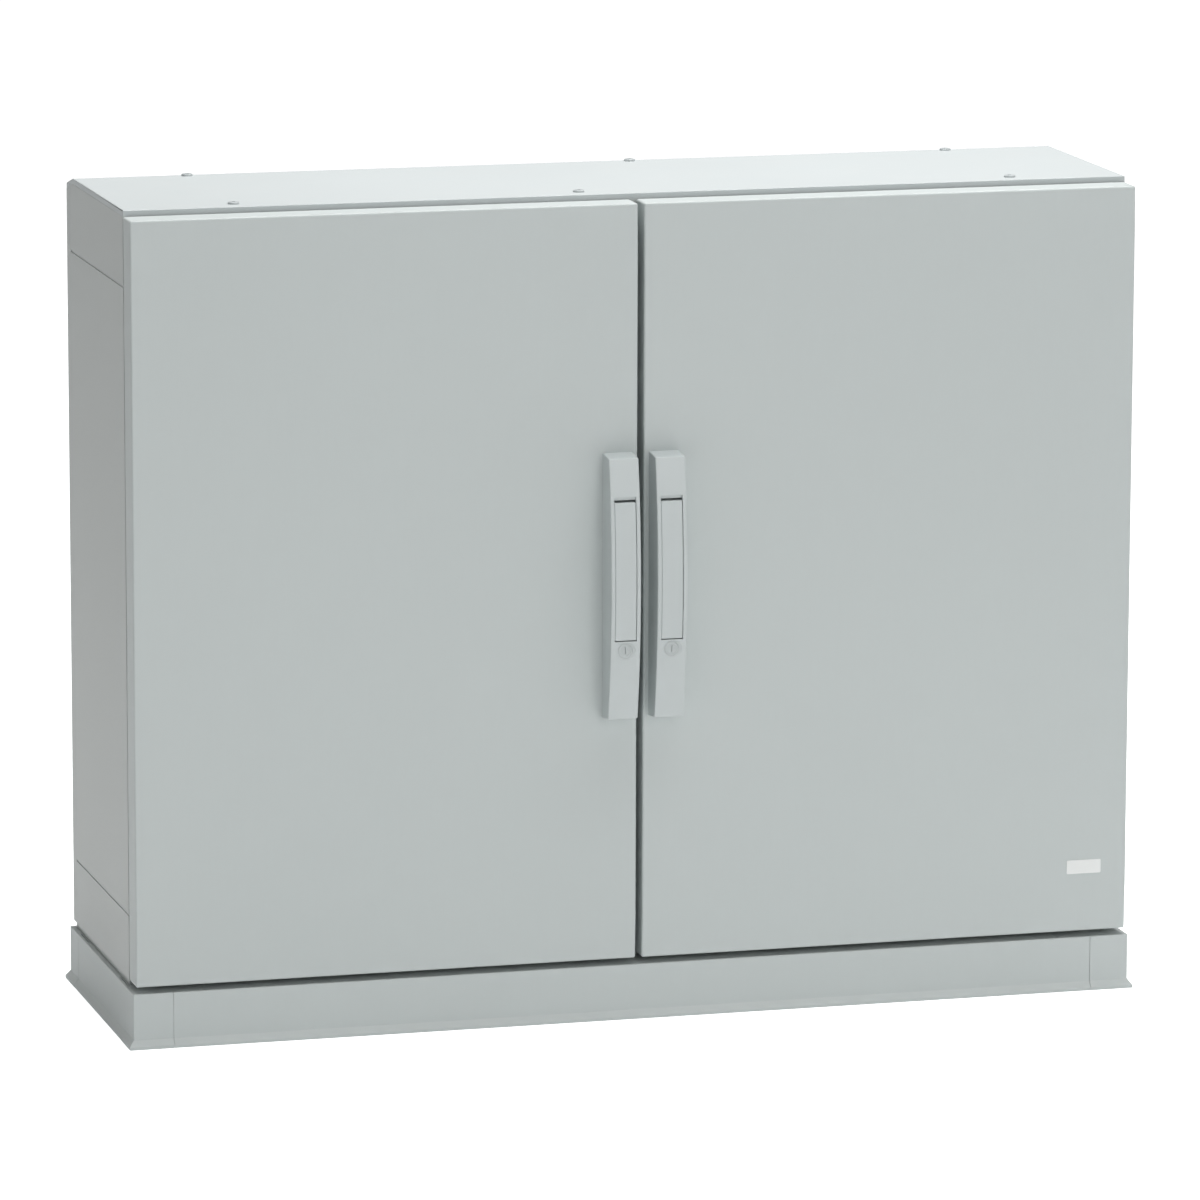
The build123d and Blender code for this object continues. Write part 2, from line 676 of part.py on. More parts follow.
def make_mounting():
    rail_back = back_y - wall
    rail_front = rail_back - rail_depth
    low_x, high_x = rail_span_x()
    rail_z = (opening_low_z, opening_high_z)
    front_y = (rail_front, rail_front + rail_gauge)
    rail = block((low_x, high_x), front_y, (rail_z[0] + 30, rail_z[1] - 30))
    rail += block((low_x, low_x + rail_gauge), (rail_front, rail_back), rail_z)
    rail += block((high_x - rail_gauge, high_x), (rail_front, rail_back), rail_z)
    middle_x = (low_x + high_x) / 2
    bolt_levels = (body_z + plate_end_margin + 30, door_middle_z, wall_top_z - plate_end_margin - 30)
    for low, high in ((rail_z[0], rail_z[0] + 28), (rail_z[1] - 28, rail_z[1])):
        rail += block((low_x, high_x), (rail_back - rail_gauge, rail_back), (low, high))
    for place in rail_screw_places():
        rail -= bar("y", 2.3, place, (rail_back - rail_gauge - 1, rail_back + 1))
    for z in bolt_levels:
        rail -= bar("y", 4.05, (middle_x, z), (rail_front - 1, rail_front + rail_gauge + 1))
    save_pair("mounting_rail", rail)

    plate_x = half_width - plate_side_margin
    field_x = plate_x - plate_flange
    flange_face_y = rail_front - mounting_plate_thickness
    plate_z = (body_z + plate_end_margin, wall_top_z - plate_end_margin)
    plate = block((-plate_x, plate_x), (flange_face_y, rail_front), plate_z)
    plate = fillet(plate.edges().filter_by(Axis.Y), 12)
    plate -= block((-field_x, field_x), (flange_face_y - 1, rail_front + 1), plate_z)
    field_y = (flange_face_y - plate_joggle, rail_front - plate_joggle)
    plate += block((-field_x, field_x), field_y, plate_z)
    for side in (-1, 1):
        web_x = (side * field_x, side * (field_x + mounting_plate_thickness))
        plate += block(web_x, (field_y[0], rail_front), plate_z)
    fasteners = []
    for z in bolt_levels:
        for x in (-middle_x, middle_x):
            plate -= bar("y", 4.3, (x, z), (flange_face_y - 1, rail_front + 1))
            fasteners.append(screw("y", (x, z), flange_face_y, mounting_plate_thickness + 12, 4.0))
    for place in rail_screw_places():
        fasteners.append(screw("y", place, rail_back - rail_gauge, rail_gauge + 2.4, 2.0))
    earth_z = (bolt_levels[0] + bolt_levels[1]) / 2
    for offset in (-15, 15):
        plate -= bar("y", 2.6, (-middle_x, earth_z + offset), (flange_face_y - 1, rail_front + 1))
    save("mounting_plate", plate)
    save("mounting_screws", *fasteners)

    earth_y = (flange_face_y - 6, flange_face_y)
    terminal = block((-middle_x - 8, -middle_x + 8), earth_y, (earth_z - 30, earth_z + 30))
    parts = []
    for offset in (-15, 15):
        place = (-middle_x, earth_z + offset)
        terminal -= bar("y", 2.55, place, (earth_y[0] - 1, earth_y[1] + 1))
        parts.append(screw("y", place, earth_y[0], 6 + mounting_plate_thickness - fit_gap, 2.5))
    save("earth_terminal", terminal, *parts)


# ---- Keepers ----
def keeper_screw_places(rod_x, z):
    """Two screws through the foot of the keeper of each door."""
    offsets = (-keeper_screw_offset, keeper_screw_offset)
    return [(side * (rod_x + offset), z) for side in (-1, 1) for offset in offsets]


def top_keeper(rod_x):
    """The right keeper of the top frame: a foot behind the flange, a bridge and a hook before the rod."""
    hook_front = rod_y - 0.8 - keeper_hook
    bridge_high = opening_high_z - 4
    bridge_z = (bridge_high - keeper_thickness, bridge_high)
    span_x = (rod_x - keeper_half_width, rod_x + keeper_half_width)
    shape = block(span_x, (hook_front, flange_y + keeper_thickness), bridge_z)
    hook_z = (bridge_high - keeper_thickness - keeper_overlap, bridge_high)
    shape += block(span_x, (hook_front, hook_front + keeper_hook), hook_z)
    foot_y = (flange_y, flange_y + keeper_thickness)
    foot_z = (bridge_high - keeper_thickness, opening_high_z + keeper_foot_reach)
    shape += block(span_x, foot_y, foot_z)
    for offset in (-keeper_screw_offset, keeper_screw_offset):
        place = (rod_x + offset, high_screw_z)
        shape -= bar("y", 2.3, place, (flange_y - 1, flange_y + keeper_thickness + 1))
    return shape


def make_keepers():
    """The four keepers: the bottom ones are the top ones turned over, further out."""
    top = top_keeper(upper_rod_x)
    turned = mirror(top_keeper(lower_rod_x), Plane.XY)
    bottom = Pos(0, 0, opening_low_z + opening_high_z) * turned
    save("keepers", top, mirrored(top), bottom, mirrored(bottom))


def keeper_screws():
    """The screws of all four keepers."""
    places = keeper_screw_places(upper_rod_x, high_screw_z)
    places += keeper_screw_places(lower_rod_x, low_screw_z)
    seat = flange_y + keeper_thickness
    return [screw("y", place, seat, -keeper_thickness - 2.7, 2.0) for place in places]


# ---- Hinges ----
def hinge_levels():
    """The heights of the three concealed hinges of a door."""
    return (body_z + hinge_end_inset, door_middle_z, wall_top_z - hinge_end_inset)


def hinge_arm(z):
    """One gooseneck arm: a knuckle, a limb into the door, a leg back out and a foot on the flange."""
    half = arm_thickness / 2
    height = (z - hinge_height / 2, z + hinge_height / 2)
    elbow_reach = pivot_x - hinge_leg_x + half
    angle = radians(arm_drop_angle)
    elbow_x = pivot_x - elbow_reach
    elbow_y = pivot_y - elbow_reach * sin(angle) / cos(angle)
    across_x = half * sin(angle)
    across_y = half * cos(angle)
    limb = Polyline(
        (pivot_x - across_x, pivot_y + across_y),
        (elbow_x - across_x, elbow_y + across_y),
        (elbow_x + across_x, elbow_y - across_y),
        (pivot_x + across_x, pivot_y - across_y),
        close=True,
    )
    arm = Pos(0, 0, height[0]) * extrude(make_face(limb.edges()), hinge_height)
    arm += bar("z", hinge_pin_radius + 2.5, (pivot_x, pivot_y), height)
    leg_x = (hinge_leg_x - arm_thickness, hinge_leg_x)
    arm += block(leg_x, (elbow_y - across_y, body_y), height)
    foot_x = (hinge_foot_low_x, hinge_leg_x)
    arm += block(foot_x, (body_y - 10, body_y), height)
    cuts = [bar("z", hinge_pin_radius + 0.05, (pivot_x, pivot_y), (height[0] - 1, height[1] + 1))]
    for offset in (-12, 12):
        cuts.append(bar("y", 2.05, (hinge_foot_x, z + offset), (body_y - 8, body_y + 1)))
    return arm - cuts


def hinge_leaf(z):
    """One door leaf: a plate on the inside of the door skin with an ear above and below the knuckle."""
    ear_low = hinge_height / 2 + fit_gap
    ear = 4.0
    plate_x = (pivot_x - 14, half_width - door_rim - fit_gap)
    leaf = block(plate_x, (skin_y, skin_y + 2.5), (z - 34, z + 34))
    radius = hinge_pin_radius + 3
    for low in (z + ear_low, z - ear_low - ear):
        leaf += block((pivot_x - radius, pivot_x + radius), (skin_y, pivot_y), (low, low + ear))
        leaf += bar("z", radius, (pivot_x, pivot_y), (low, low + ear))
    return leaf - bar("z", hinge_pin_radius + 0.05, (pivot_x, pivot_y), (z - 40, z + 40))


def hinge_pin(z):
    """One hinge pin with a flat head on the upper ear."""
    reach = hinge_height / 2 + fit_gap + 4.0
    pin = bar("z", hinge_pin_radius, (pivot_x, pivot_y), (z - reach - 2, z + reach))
    return pin + bar("z", hinge_pin_radius + 1.5, (pivot_x, pivot_y), (z + reach, z + reach + 2))


def make_hinges():
    levels = hinge_levels()
    save_pair("hinge_arms", *[hinge_arm(z) for z in levels])
    save_pair("hinge_leaves", *[hinge_leaf(z) for z in levels])
    save_pair("hinge_pins", *[hinge_pin(z) for z in levels])
    screws = []
    for z in levels:
        for offset in (-12, 12):
            fastener = screw("y", (hinge_foot_x, z + offset), flange_y, -wall - 7.5, 2.0)
            screws += [fastener, mirrored(fastener)]
    save("hinge_screws", *screws)


# ---- Doors ----
def door_shell():
    """The right door: a pan with a rolled front edge and slightly falling top and bottom bands."""
    door_x = (door_inner_x, half_width)
    door = block(door_x, (face_y, door_back_y), (body_z, wall_top_z))
    door = fillet(door.edges().filter_by(Axis.Y), door_corner_radius)
    door = fillet(door.edges().group_by(Axis.Y)[0], door_edge_radius)
    for edge_z, way in ((wall_top_z, -1), (body_z, 1)):
        start_z = edge_z + way * band_height
        low_corner = (face_y + band_fall, edge_z)
        wedge = [(face_y - 1, start_z), (face_y, start_z), low_corner, (face_y - 1, edge_z)]
        door -= side_profile(polygon_edges(wedge), door_x)
    inner_x = (door_inner_x + door_rim, half_width - door_rim)
    inner_z = (body_z + door_rim, wall_top_z - door_rim)
    door -= block(inner_x, (skin_y, door_back_y + 1), inner_z)
    slot_z = (lever_pivot_z - 19.5, lever_pivot_z + 19.5)
    cuts = [block((handle_x - 5, handle_x + 5), (face_y - 1, skin_y + 1), slot_z)]
    for z in handle_screw_levels():
        cuts.append(bar("y", 3.3, (handle_x, z), (face_y - 1, skin_y + 1)))
    for place in lock_case_screw_places():
        cuts.append(bar("y", 2.05, place, (face_y + 1, skin_y + 1)))
    return door - cuts


def door_gasket():
    """The foam seal of the right door, one closed ring on the inside of the skin."""
    half = gasket_width / 2
    low_x = post_half_width - lip_thickness / 2
    high_x = opening_x + lip_thickness / 2
    low_z = opening_low_z - lip_thickness / 2
    high_z = opening_high_z + lip_thickness / 2
    depth = (skin_y, skin_y + gasket_depth)
    ring = block((low_x - half, high_x + half), depth, (low_z - half, high_z + half))
    return ring - block((low_x + half, high_x - half), depth, (low_z + half, high_z - half))


# ---- Handle, lever and lock ----
def bow_height(z):
    """How far the face of the handle stands off the door at height z."""
    half = handle_length / 2
    radius = (half ** 2 + handle_bow ** 2) / (2 * handle_bow)
    drop = radius - sqrt(radius ** 2 - (z - door_middle_z) ** 2)
    return handle_end_height + handle_bow - drop


def bowed_solid(x, z, sink, flat_y, draft=0):
    """A solid under the bowed face, sink below it, back to a flat plane that is longer by a draft."""
    low, high = z
    middle = (low + high) / 2
    face = [(face_y - bow_height(level) + sink, level) for level in (low, middle, high)]
    arc = ThreePointArc(*face)
    lines = Polyline(face[2], (flat_y, high + draft), (flat_y, low - draft), face[0])
    return side_profile([*arc.edges(), *lines.edges()], x)


def handle_screw_levels():
    """The two screws that hold the handle to the door, inside both ends."""
    return handle_low_z + 11, handle_high_z - 19


def handle_housing():
    """The bowed handle body: a pocket for the lever, a bore for the lock and a hollow lower half."""
    half = handle_width / 2
    span_x = (handle_x - half, handle_x + half)
    housing = bowed_solid(span_x, (handle_low_z, handle_high_z), 0, face_y, handle_end_draft)
    front_edges = housing.edges().filter_by(lambda edge: edge.center().Y < face_y - 2)
    housing = fillet(front_edges, handle_edge_radius)
    pocket_half = lever_width / 2 + fit_gap
    pocket_x = (handle_x - pocket_half, handle_x + pocket_half)
    front = face_y - handle_end_height - handle_bow - 1
    slit_high_z = lever_high_z + lever_slit
    slit_floor_y = face_y - bow_height(slit_high_z) + lever_slit_depth
    behind_y = (lever_pivot_y - 1, face_y + 1)
    crank_room_x = (handle_x - crank_width / 2 - 1, handle_x + crank_width / 2 + 1)
    cuts = [block(pocket_x, (front, face_y + 1), (lever_low_z - lever_end_gap, lever_pivot_z))]
    cuts.append(block(pocket_x, (front, slit_floor_y), (lever_pivot_z, slit_high_z)))
    cuts.append(bar("x", lever_corner_path(), (lever_pivot_y, lever_pivot_z), pocket_x))
    cuts.append(block(crank_room_x, behind_y, (lever_low_z, lever_pivot_z + 22)))
    cuts.append(bar("y", lock_radius + 0.05, (handle_x, lock_z), (front, face_y)))
    cam_y = (lock_cam_front_y() - fit_gap, face_y + 1)
    cuts.append(bar("y", lock_cam_reach + 0.5, (handle_x, lock_z), cam_y))
    hollow_z = (handle_low_z + 22, lock_z - lock_cam_reach - 4)
    hollow_half = half - 4
    hollow_x = (handle_x - hollow_half, handle_x + hollow_half)
    cuts.append(block(hollow_x, (face_y - 22, face_y + 1), hollow_z))
    pivot = (lever_pivot_y, lever_pivot_z)
    cuts.append(bar("x", lever_pin_radius + 0.05, pivot, lever_pin_span(0.1)))
    for z in handle_screw_levels():
        cuts.append(bar("y", 2.55, (handle_x, z), (face_y - 16, face_y + 1)))
    return housing - cuts


def lever_corner_path():
    """The radius that the lever's upper front corner needs as it turns, with a little room."""
    corner_y = face_y - bow_height(lever_high_z) + lever_sink
    return hypot(lever_pivot_drop, lever_pivot_y - corner_y) + fit_gap


def lever_pin_span(extra):
    """The ends of the lever's pivot pin, in blind holes in the sides of the handle."""
    reach = lever_width / 2 + 3.5 + extra
    return handle_x - reach, handle_x + reach


def lock_cam_front_y():
    """The front face of the lock's cam, behind the barrel."""
    return face_y - 16


def lever():
    """The pull lever: bowed grip, pivot boss, notched end and the crank that reaches into the door."""
    half = lever_width / 2
    span_x = (handle_x - half, handle_x + half)
    grip_back = face_y - bow_height(lever_low_z) + lever_thickness
    grip = bowed_solid(span_x, (lever_low_z, lever_high_z), lever_sink, grip_back)
    boss = bar("x", lever_pivot_drop, (lever_pivot_y, lever_pivot_z), span_x)
    tail_back = lock_cam_front_y() + lock_cam_thickness + 4
    tail_x = (handle_x - 8, handle_x + 8)
    tail = block(tail_x, (grip_back - 1, tail_back), (lever_low_z, lever_low_z + 6))
    notch_y = (lock_cam_front_y() - 0.4, lock_cam_front_y() + lock_cam_thickness + 0.4)
    notch = block(tail_x, notch_y, (lever_low_z - 1, lever_low_z + 3.5))
    arm_half = 6.0
    along = crank_radius
    arm = block((-crank_width / 2, crank_width / 2), (0, along), (-arm_half, arm_half))
    arm += bar("x", arm_half, (along, 0), (-crank_width / 2, crank_width / 2))
    arm = Pos(handle_x, lever_pivot_y, lever_pivot_z) * Rot(lever_travel / 2, 0, 0) * arm
    pin_hole = bar("x", lever_pin_radius + 0.05, (lever_pivot_y, lever_pivot_z), span_x)
    crank_hole = bar("x", lever_pin_radius, (crank_pin_y, crank_pin_z), span_x)
    return grip + boss + tail + arm - notch - pin_hole - crank_hole


def make_handle():
    save_pair("handle_housing", handle_housing())
    save_pair("lever", lever())
    pivot_pin = bar("x", lever_pin_radius, (lever_pivot_y, lever_pivot_z), lever_pin_span(0))
    crank_span = (upper_rod_x - crank_width / 2 - 4, upper_rod_x + crank_width / 2 + 4)
    crank_pin = bar("x", lever_pin_radius, (crank_pin_y, crank_pin_z), crank_span)
    save_pair("lever_pins", pivot_pin, crank_pin)

    barrel_front = face_y - bow_height(lock_z) + 1.2
    barrel = bar("y", lock_radius, (handle_x, lock_z), (barrel_front, lock_cam_front_y()))
    keyway_x = (handle_x - 0.9, handle_x + 0.9)
    keyway = block(keyway_x, (barrel_front - 1, barrel_front + 6), (lock_z - 5, lock_z + 5))
    cam_y = (lock_cam_front_y(), lock_cam_front_y() + lock_cam_thickness)
    cam = block((handle_x, handle_x + lock_cam_reach - 1), cam_y, (lock_z - 4, lock_z + 4))
    cam += bar("y", 6.0, (handle_x, lock_z), cam_y)
    save_pair("lock_cylinder", barrel - keyway + cam)

    screws = []
    for z, seat in zip(handle_screw_levels(), (skin_y, lock_case_y)):
        screws.append(screw("y", (handle_x, z), seat, face_y - 14 - seat, 2.5))
    for place in lock_case_screw_places():
        screws.append(screw("y", place, lock_case_y, -lock_plate - 2.7, 2.0))
    spigot_end = disc_y + disc_thickness + fit_gap
    screws.append(screw("y", (disc_x, disc_z), spigot_end, -10, 3.0))
    save_pair("lock_screws", *screws)


# ---- Espagnolette ----
def lock_case_screw_places():
    """The four corners of the lock plate."""
    low_z = disc_z - disc_radius - 4
    high_z = handle_high_z - 2
    return [(x, z) for x in (handle_x - 5.5, disc_x + 33) for z in (low_z, high_z)]


def lock_case():
    """The lock plate inside the door, with the stepped stud that the disc turns on."""
    places = lock_case_screw_places()
    low_x = post_half_width + 3.5
    high_x = disc_x + 40
    low_z = places[0][1] - 7
    high_z = places[1][1] + 7
    case = block((low_x, high_x), (skin_y, lock_case_y), (low_z, high_z))
    stud = (disc_x, disc_z)
    case += bar("y", 8.0, stud, (lock_case_y, disc_y - fit_gap))
    case += bar("y", 5.0, stud, (disc_y - fit_gap, disc_y + disc_thickness + fit_gap))
    slot_z = (lever_pivot_z - 19.5, lever_pivot_z + 19.5)
    cuts = [block((handle_x - 5, handle_x + 5), (skin_y - 1, lock_case_y + 1), slot_z)]
    cuts.append(bar("y", 2.8, (handle_x, handle_screw_levels()[1]), (skin_y - 1, lock_case_y + 1)))
    for place in places:
        cuts.append(bar("y", 2.3, place, (skin_y - 1, lock_case_y + 1)))
    cuts.append(bar("y", 3.0, stud, (disc_y + disc_thickness + fit_gap - 10, disc_y + 20)))
    return case - cuts


def cam_disc():
    """The disc that turns the upper rod's fall into the lower rod's rise, with its two pins."""
    span = (disc_y, disc_y + disc_thickness)
    disc = bar("y", disc_radius, (disc_x, disc_z), span)
    pin_y = (rod_y - 1, disc_y)
    disc += bar("y", 3.0, (disc_x - disc_pin_near, disc_z + disc_pin_rise), pin_y)
    disc += bar("y", 3.0, (disc_x + disc_pin_near, disc_z - disc_pin_rise), pin_y)
    for way in (-1, 1):
        disc -= bar("y", 5.0, (disc_x + way * disc_pin_rise, disc_z + way * disc_pin_near), span)
    return disc - bar("y", 5.05, (disc_x, disc_z), (disc_y - 1, disc_y + disc_thickness + 1))


def pin_slot(near, far, z):
    """A cut that takes one pin of the disc between its nearest and farthest place across the rod."""
    half = 3.0 + slot_clearance
    depth = (rod_y - 1, rod_y + rod_thickness + 1)
    cut = block((near, far), depth, (z - half, z + half))
    return cut + bar("y", half, (near, z), depth) + bar("y", half, (far, z), depth)


def upper_rod():
    """The upper rod: its slide straddles the crank, and its tip stands behind the top keeper."""
    depth = (rod_y, rod_y + rod_thickness)
    slot_z = disc_z + disc_pin_rise
    low_z = slot_z - 13
    slide_x = (upper_rod_x - 9.5, upper_rod_x + 8)
    tip_z = opening_high_z - rod_tip_inset
    rod = block(slide_x, depth, (low_z, crank_pin_z + 20))
    rod += block((upper_rod_x - rod_width / 2, upper_rod_x + rod_width / 2), depth, (low_z, tip_z))
    gap = crank_width / 2 + 0.4
    window_z = (crank_pin_z - 8, crank_pin_z + 8)
    window_x = (upper_rod_x - gap, upper_rod_x + gap)
    rod -= block(window_x, (rod_y - 1, rod_y + rod_thickness + 1), window_z)
    cheek_z = (crank_pin_z - 13, crank_pin_z + 13)
    for side in (-1, 1):
        cheek_x = (upper_rod_x + side * gap, upper_rod_x + side * (gap + 3))
        rod += block(cheek_x, (lock_case_y + fit_gap, rod_y + rod_thickness), cheek_z)
    half = lever_pin_radius + slot_clearance
    far_y = lever_pivot_y + crank_radius
    slot_x = (slide_x[0] - 1, slide_x[1] + 1)
    crank_slot = block(slot_x, (crank_pin_y, far_y), (crank_pin_z - half, crank_pin_z + half))
    for y in (crank_pin_y, far_y):
        crank_slot += bar("x", half, (y, crank_pin_z), slot_x)
    return rod - crank_slot - pin_slot(disc_x - disc_pin_circle, disc_x - disc_pin_near, slot_z)


def lower_rod():
    """The lower rod: a short slide on the disc's outer pin and a bar down to the bottom keeper."""
    depth = (rod_y, rod_y + rod_thickness)
    slot_z = disc_z - disc_pin_rise
    tip_z = opening_low_z + rod_tip_inset
    rod = block((lower_rod_x - 9.5, lower_rod_x + 9.5), depth, (slot_z - 13, slot_z + 13))
    rod += block((lower_rod_x - rod_width / 2, lower_rod_x + rod_width / 2), depth, (tip_z, slot_z))
    return rod - pin_slot(disc_x + disc_pin_near, disc_x + disc_pin_circle, slot_z)


def rod_guide(rod_x, z):
    """One guide block on the inside of the door, with a passage for the rod."""
    half = rod_width / 2
    guide_y = (skin_y, rod_y + rod_thickness + 4)
    guide = block((rod_x - half - 5, rod_x + half + 5), guide_y, (z - 8, z + 8))
    guide = fillet(guide.edges().filter_by(Axis.Z).group_by(Axis.Y)[-1], 2.5)
    passage_x = (rod_x - half - fit_gap, rod_x + half + fit_gap)
    passage_y = (rod_y - fit_gap, rod_y + rod_thickness + fit_gap)
    return guide - block(passage_x, passage_y, (z - 9, z + 9))


def make_espagnolette():
    save_pair("lock_case", lock_case())
    save_pair("cam_disc", cam_disc())
    save_pair("upper_rod", upper_rod())
    save_pair("lower_rod", lower_rod())
    upper_levels = (handle_high_z + 30, opening_high_z - 75)
    lower_span = disc_z - opening_low_z
    lower_levels = [opening_low_z + lower_span * share for share in (0.17, 0.48, 0.8)]
    guides = [rod_guide(upper_rod_x, z) for z in upper_levels]
    guides += [rod_guide(lower_rod_x, z) for z in lower_levels]
    save_pair("rod_guides", *guides)


def make_doors():
    save_pair("door_shell", door_shell())
    save_pair("door_gasket", door_gasket())
    middle_x = half_width - label_side_inset - label_width / 2
    middle_z = body_z + label_end_inset + label_height / 2
    label = block(
        (middle_x - label_width / 2, middle_x + label_width / 2),
        (face_y - label_thickness, face_y),
        (middle_z - label_height / 2, middle_z + label_height / 2),
    )
    save("blank_label_plate", fillet(label.edges().filter_by(Axis.Y), 1.5))


os.makedirs("parts", exist_ok=True)
make_plinth()
save_pair("side_panel", side_panel())
save("rear_panel", rear_panel())
make_roof()
make_frames()
make_frame_screws()
make_entry_plates()
make_centre_post()
make_mounting()
make_keepers()
make_hinges()
make_doors()
make_handle()
make_espagnolette()
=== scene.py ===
import json
import math

import bmesh
import bpy
from mathutils import Matrix, Vector

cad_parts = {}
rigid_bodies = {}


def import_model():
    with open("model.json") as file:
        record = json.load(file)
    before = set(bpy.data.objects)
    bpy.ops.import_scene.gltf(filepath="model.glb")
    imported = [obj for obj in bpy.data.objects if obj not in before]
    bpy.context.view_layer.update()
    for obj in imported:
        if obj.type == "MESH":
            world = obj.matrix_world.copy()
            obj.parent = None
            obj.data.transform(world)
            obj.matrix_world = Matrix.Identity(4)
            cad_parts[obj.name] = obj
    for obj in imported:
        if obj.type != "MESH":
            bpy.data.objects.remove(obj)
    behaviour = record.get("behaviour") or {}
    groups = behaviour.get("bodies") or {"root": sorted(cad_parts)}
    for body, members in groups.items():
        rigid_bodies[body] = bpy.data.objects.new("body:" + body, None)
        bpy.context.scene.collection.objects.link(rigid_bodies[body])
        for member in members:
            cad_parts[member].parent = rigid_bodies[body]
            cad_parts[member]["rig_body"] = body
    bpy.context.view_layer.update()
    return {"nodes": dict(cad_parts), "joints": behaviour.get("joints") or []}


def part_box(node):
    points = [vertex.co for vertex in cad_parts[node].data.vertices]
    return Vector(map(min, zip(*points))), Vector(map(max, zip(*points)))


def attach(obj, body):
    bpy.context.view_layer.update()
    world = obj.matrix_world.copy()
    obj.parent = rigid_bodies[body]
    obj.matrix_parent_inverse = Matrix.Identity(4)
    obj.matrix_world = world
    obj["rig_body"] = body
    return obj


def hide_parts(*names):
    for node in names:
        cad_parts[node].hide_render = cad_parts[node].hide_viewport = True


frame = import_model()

bl_info = {
    "name": "Utility enclosure",
    "version": (1, 0, 0),
    "blender": (4, 5, 0),
    "location": "View3D > Sidebar > Enclosure",
    "description": "Models the visible pieces of a two-door utility enclosure over its CAD frame",
    "category": "Object",
}

NODES = frame["nodes"]
DOOR_LOW, DOOR_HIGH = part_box("right_door_shell")
HANDLE_LOW, HANDLE_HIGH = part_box("right_handle_housing")
LEVER_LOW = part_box("right_lever")[0]
PIN_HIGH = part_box("right_lever_pins")[1]
LOCK_LOW, LOCK_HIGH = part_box("right_lock_cylinder")
ROOF_LOW, ROOF_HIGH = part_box("roof")
LEVER_PIVOT = next(j for j in frame["joints"] if j["name"] == "right_lever_lift")["pos_m"]
LOCK_AXIS = next(j for j in frame["joints"] if j["name"] == "right_lock_turn")["pos_m"]
MM = 0.001
CLEAR = 1.0 * MM  # how far a cutting block runs past what it cuts


# ---------------------------------------------------------------- sizes and colours a user may change
def length(name, description, default):
    """A length in metres."""
    return bpy.props.FloatProperty(
        name=name, description=description, default=default, min=0.0, precision=4, unit="LENGTH"
    )


def colour(name, description, default):
    """A linear colour."""
    return bpy.props.FloatVectorProperty(
        name=name, description=description, default=default, min=0.0, max=1.0, size=3, subtype="COLOR"
    )


class EnclosureSizes(bpy.types.PropertyGroup):
    """Sizes of the modelled pieces."""

    door_skin: length("Door skin", "Thickness of the door's front", 4.0 * MM)
    door_rim: length("Door rim", "Thickness of the door's sides", 3.5 * MM)
    door_round: length("Door edge", "Radius of the door's front edge", 2.5 * MM)
    band_height: length("Band height", "Height of the falling band at the top and bottom", 55.0 * MM)
    band_fall: length("Band fall", "How far the bands fall back at the door's edge", 1.6 * MM)
    rib_place: length("Rib place", "Distance of the inner rib from the middle", 72.0 * MM)
    rib_width: length("Rib width", "Width of the flat top of a rib", 20.0 * MM)
    rib_flank: length("Rib flank", "Width of the slope beside a rib", 2.5 * MM)
    rib_rise: length("Rib rise", "How far a rib stands off the door", 0.5 * MM)
    outer_rib_inset: length("Outer rib", "Distance of the outer rib from the door's side", 32.0 * MM)
    handle_bow: length("Handle bow", "How much further the handle's middle stands off", 14.0 * MM)
    handle_round: length("Handle edge", "Radius of the handle's front edge", 1.4 * MM)
    handle_draft: length("Handle draft", "How much longer the handle is where it meets the door", 3.0 * MM)
    lever_width: length("Lever width", "Width of the pull lever", 26.4 * MM)
    lever_reach: length("Lever length", "Length of the pull lever's face", 168.0 * MM)
    lever_sink: length("Lever sink", "How far the lever's face lies below the handle's", 0.5 * MM)
    lever_thickness: length("Lever thickness", "Thickness of the lever's grip", 9.0 * MM)
    slit_above: length("Upper slit", "Finger groove above the lever", 6.5 * MM)
    slit_depth: length("Slit depth", "Depth of the groove above the lever", 3.0 * MM)
    slit_side: length("Side gap", "Gap beside the lever", 0.45 * MM)
    slit_below: length("Lower gap", "Gap below the lever", 1.2 * MM)
    seal_round: length("Seal edge", "Radius of a foam seal's edge", 2.5 * MM)
    label_corner: length("Label corner", "Radius of the label's corners", 1.5 * MM)
    label_border: length("Label border", "Width of the label's raised border", 1.0 * MM)
    soft_edge: length("Soft edge", "Radius of a moulded edge", 0.8 * MM)
    roof_round: length("Roof edge", "Radius of the roof's edges", 1.0 * MM)
    roof_thickness: length("Roof thickness", "Height of the roof's edge", 7.0 * MM)
    roof_fold_round: length("Roof fold", "Rounding where the roof begins to fall", 6.0 * MM)
    roof_slope_run: length("Roof slope", "Length of the roof's rear slope", 38.0 * MM)
    roof_slope_fall: length("Roof fall", "Fall of the roof's rear slope", 10.0 * MM)


class EnclosureFinish(bpy.types.PropertyGroup):
    """Colours of the finishes."""

    door: colour("Door", "Moulded polyester of the doors", (0.560, 0.605, 0.600))
    body: colour("Body", "Moulded polyester of the body", (0.545, 0.575, 0.565))
    roof: colour("Roof", "Moulded polyester of the roof", (0.560, 0.600, 0.605))
    plinth: colour("Plinth", "Moulded polyester of the plinth", (0.560, 0.605, 0.600))
    handle: colour("Handle", "Handle and lever plastic", (0.565, 0.610, 0.610))
    seal: colour("Seal", "Foam seal", (0.030, 0.031, 0.032))
    steel: colour("Steel", "Zinc-plated steel", (0.560, 0.575, 0.580))
    bright: colour("Bright steel", "Stainless screws and pins", (0.620, 0.630, 0.640))
    brass: colour("Brass", "Earth terminal", (0.700, 0.480, 0.170))
    nylon: colour("Nylon", "Black rod guides", (0.018, 0.018, 0.019))
    label: colour("Label", "Blank label", (0.860, 0.880, 0.870))
    floor: colour("Floor", "Pale floor", (0.900, 0.900, 0.900))


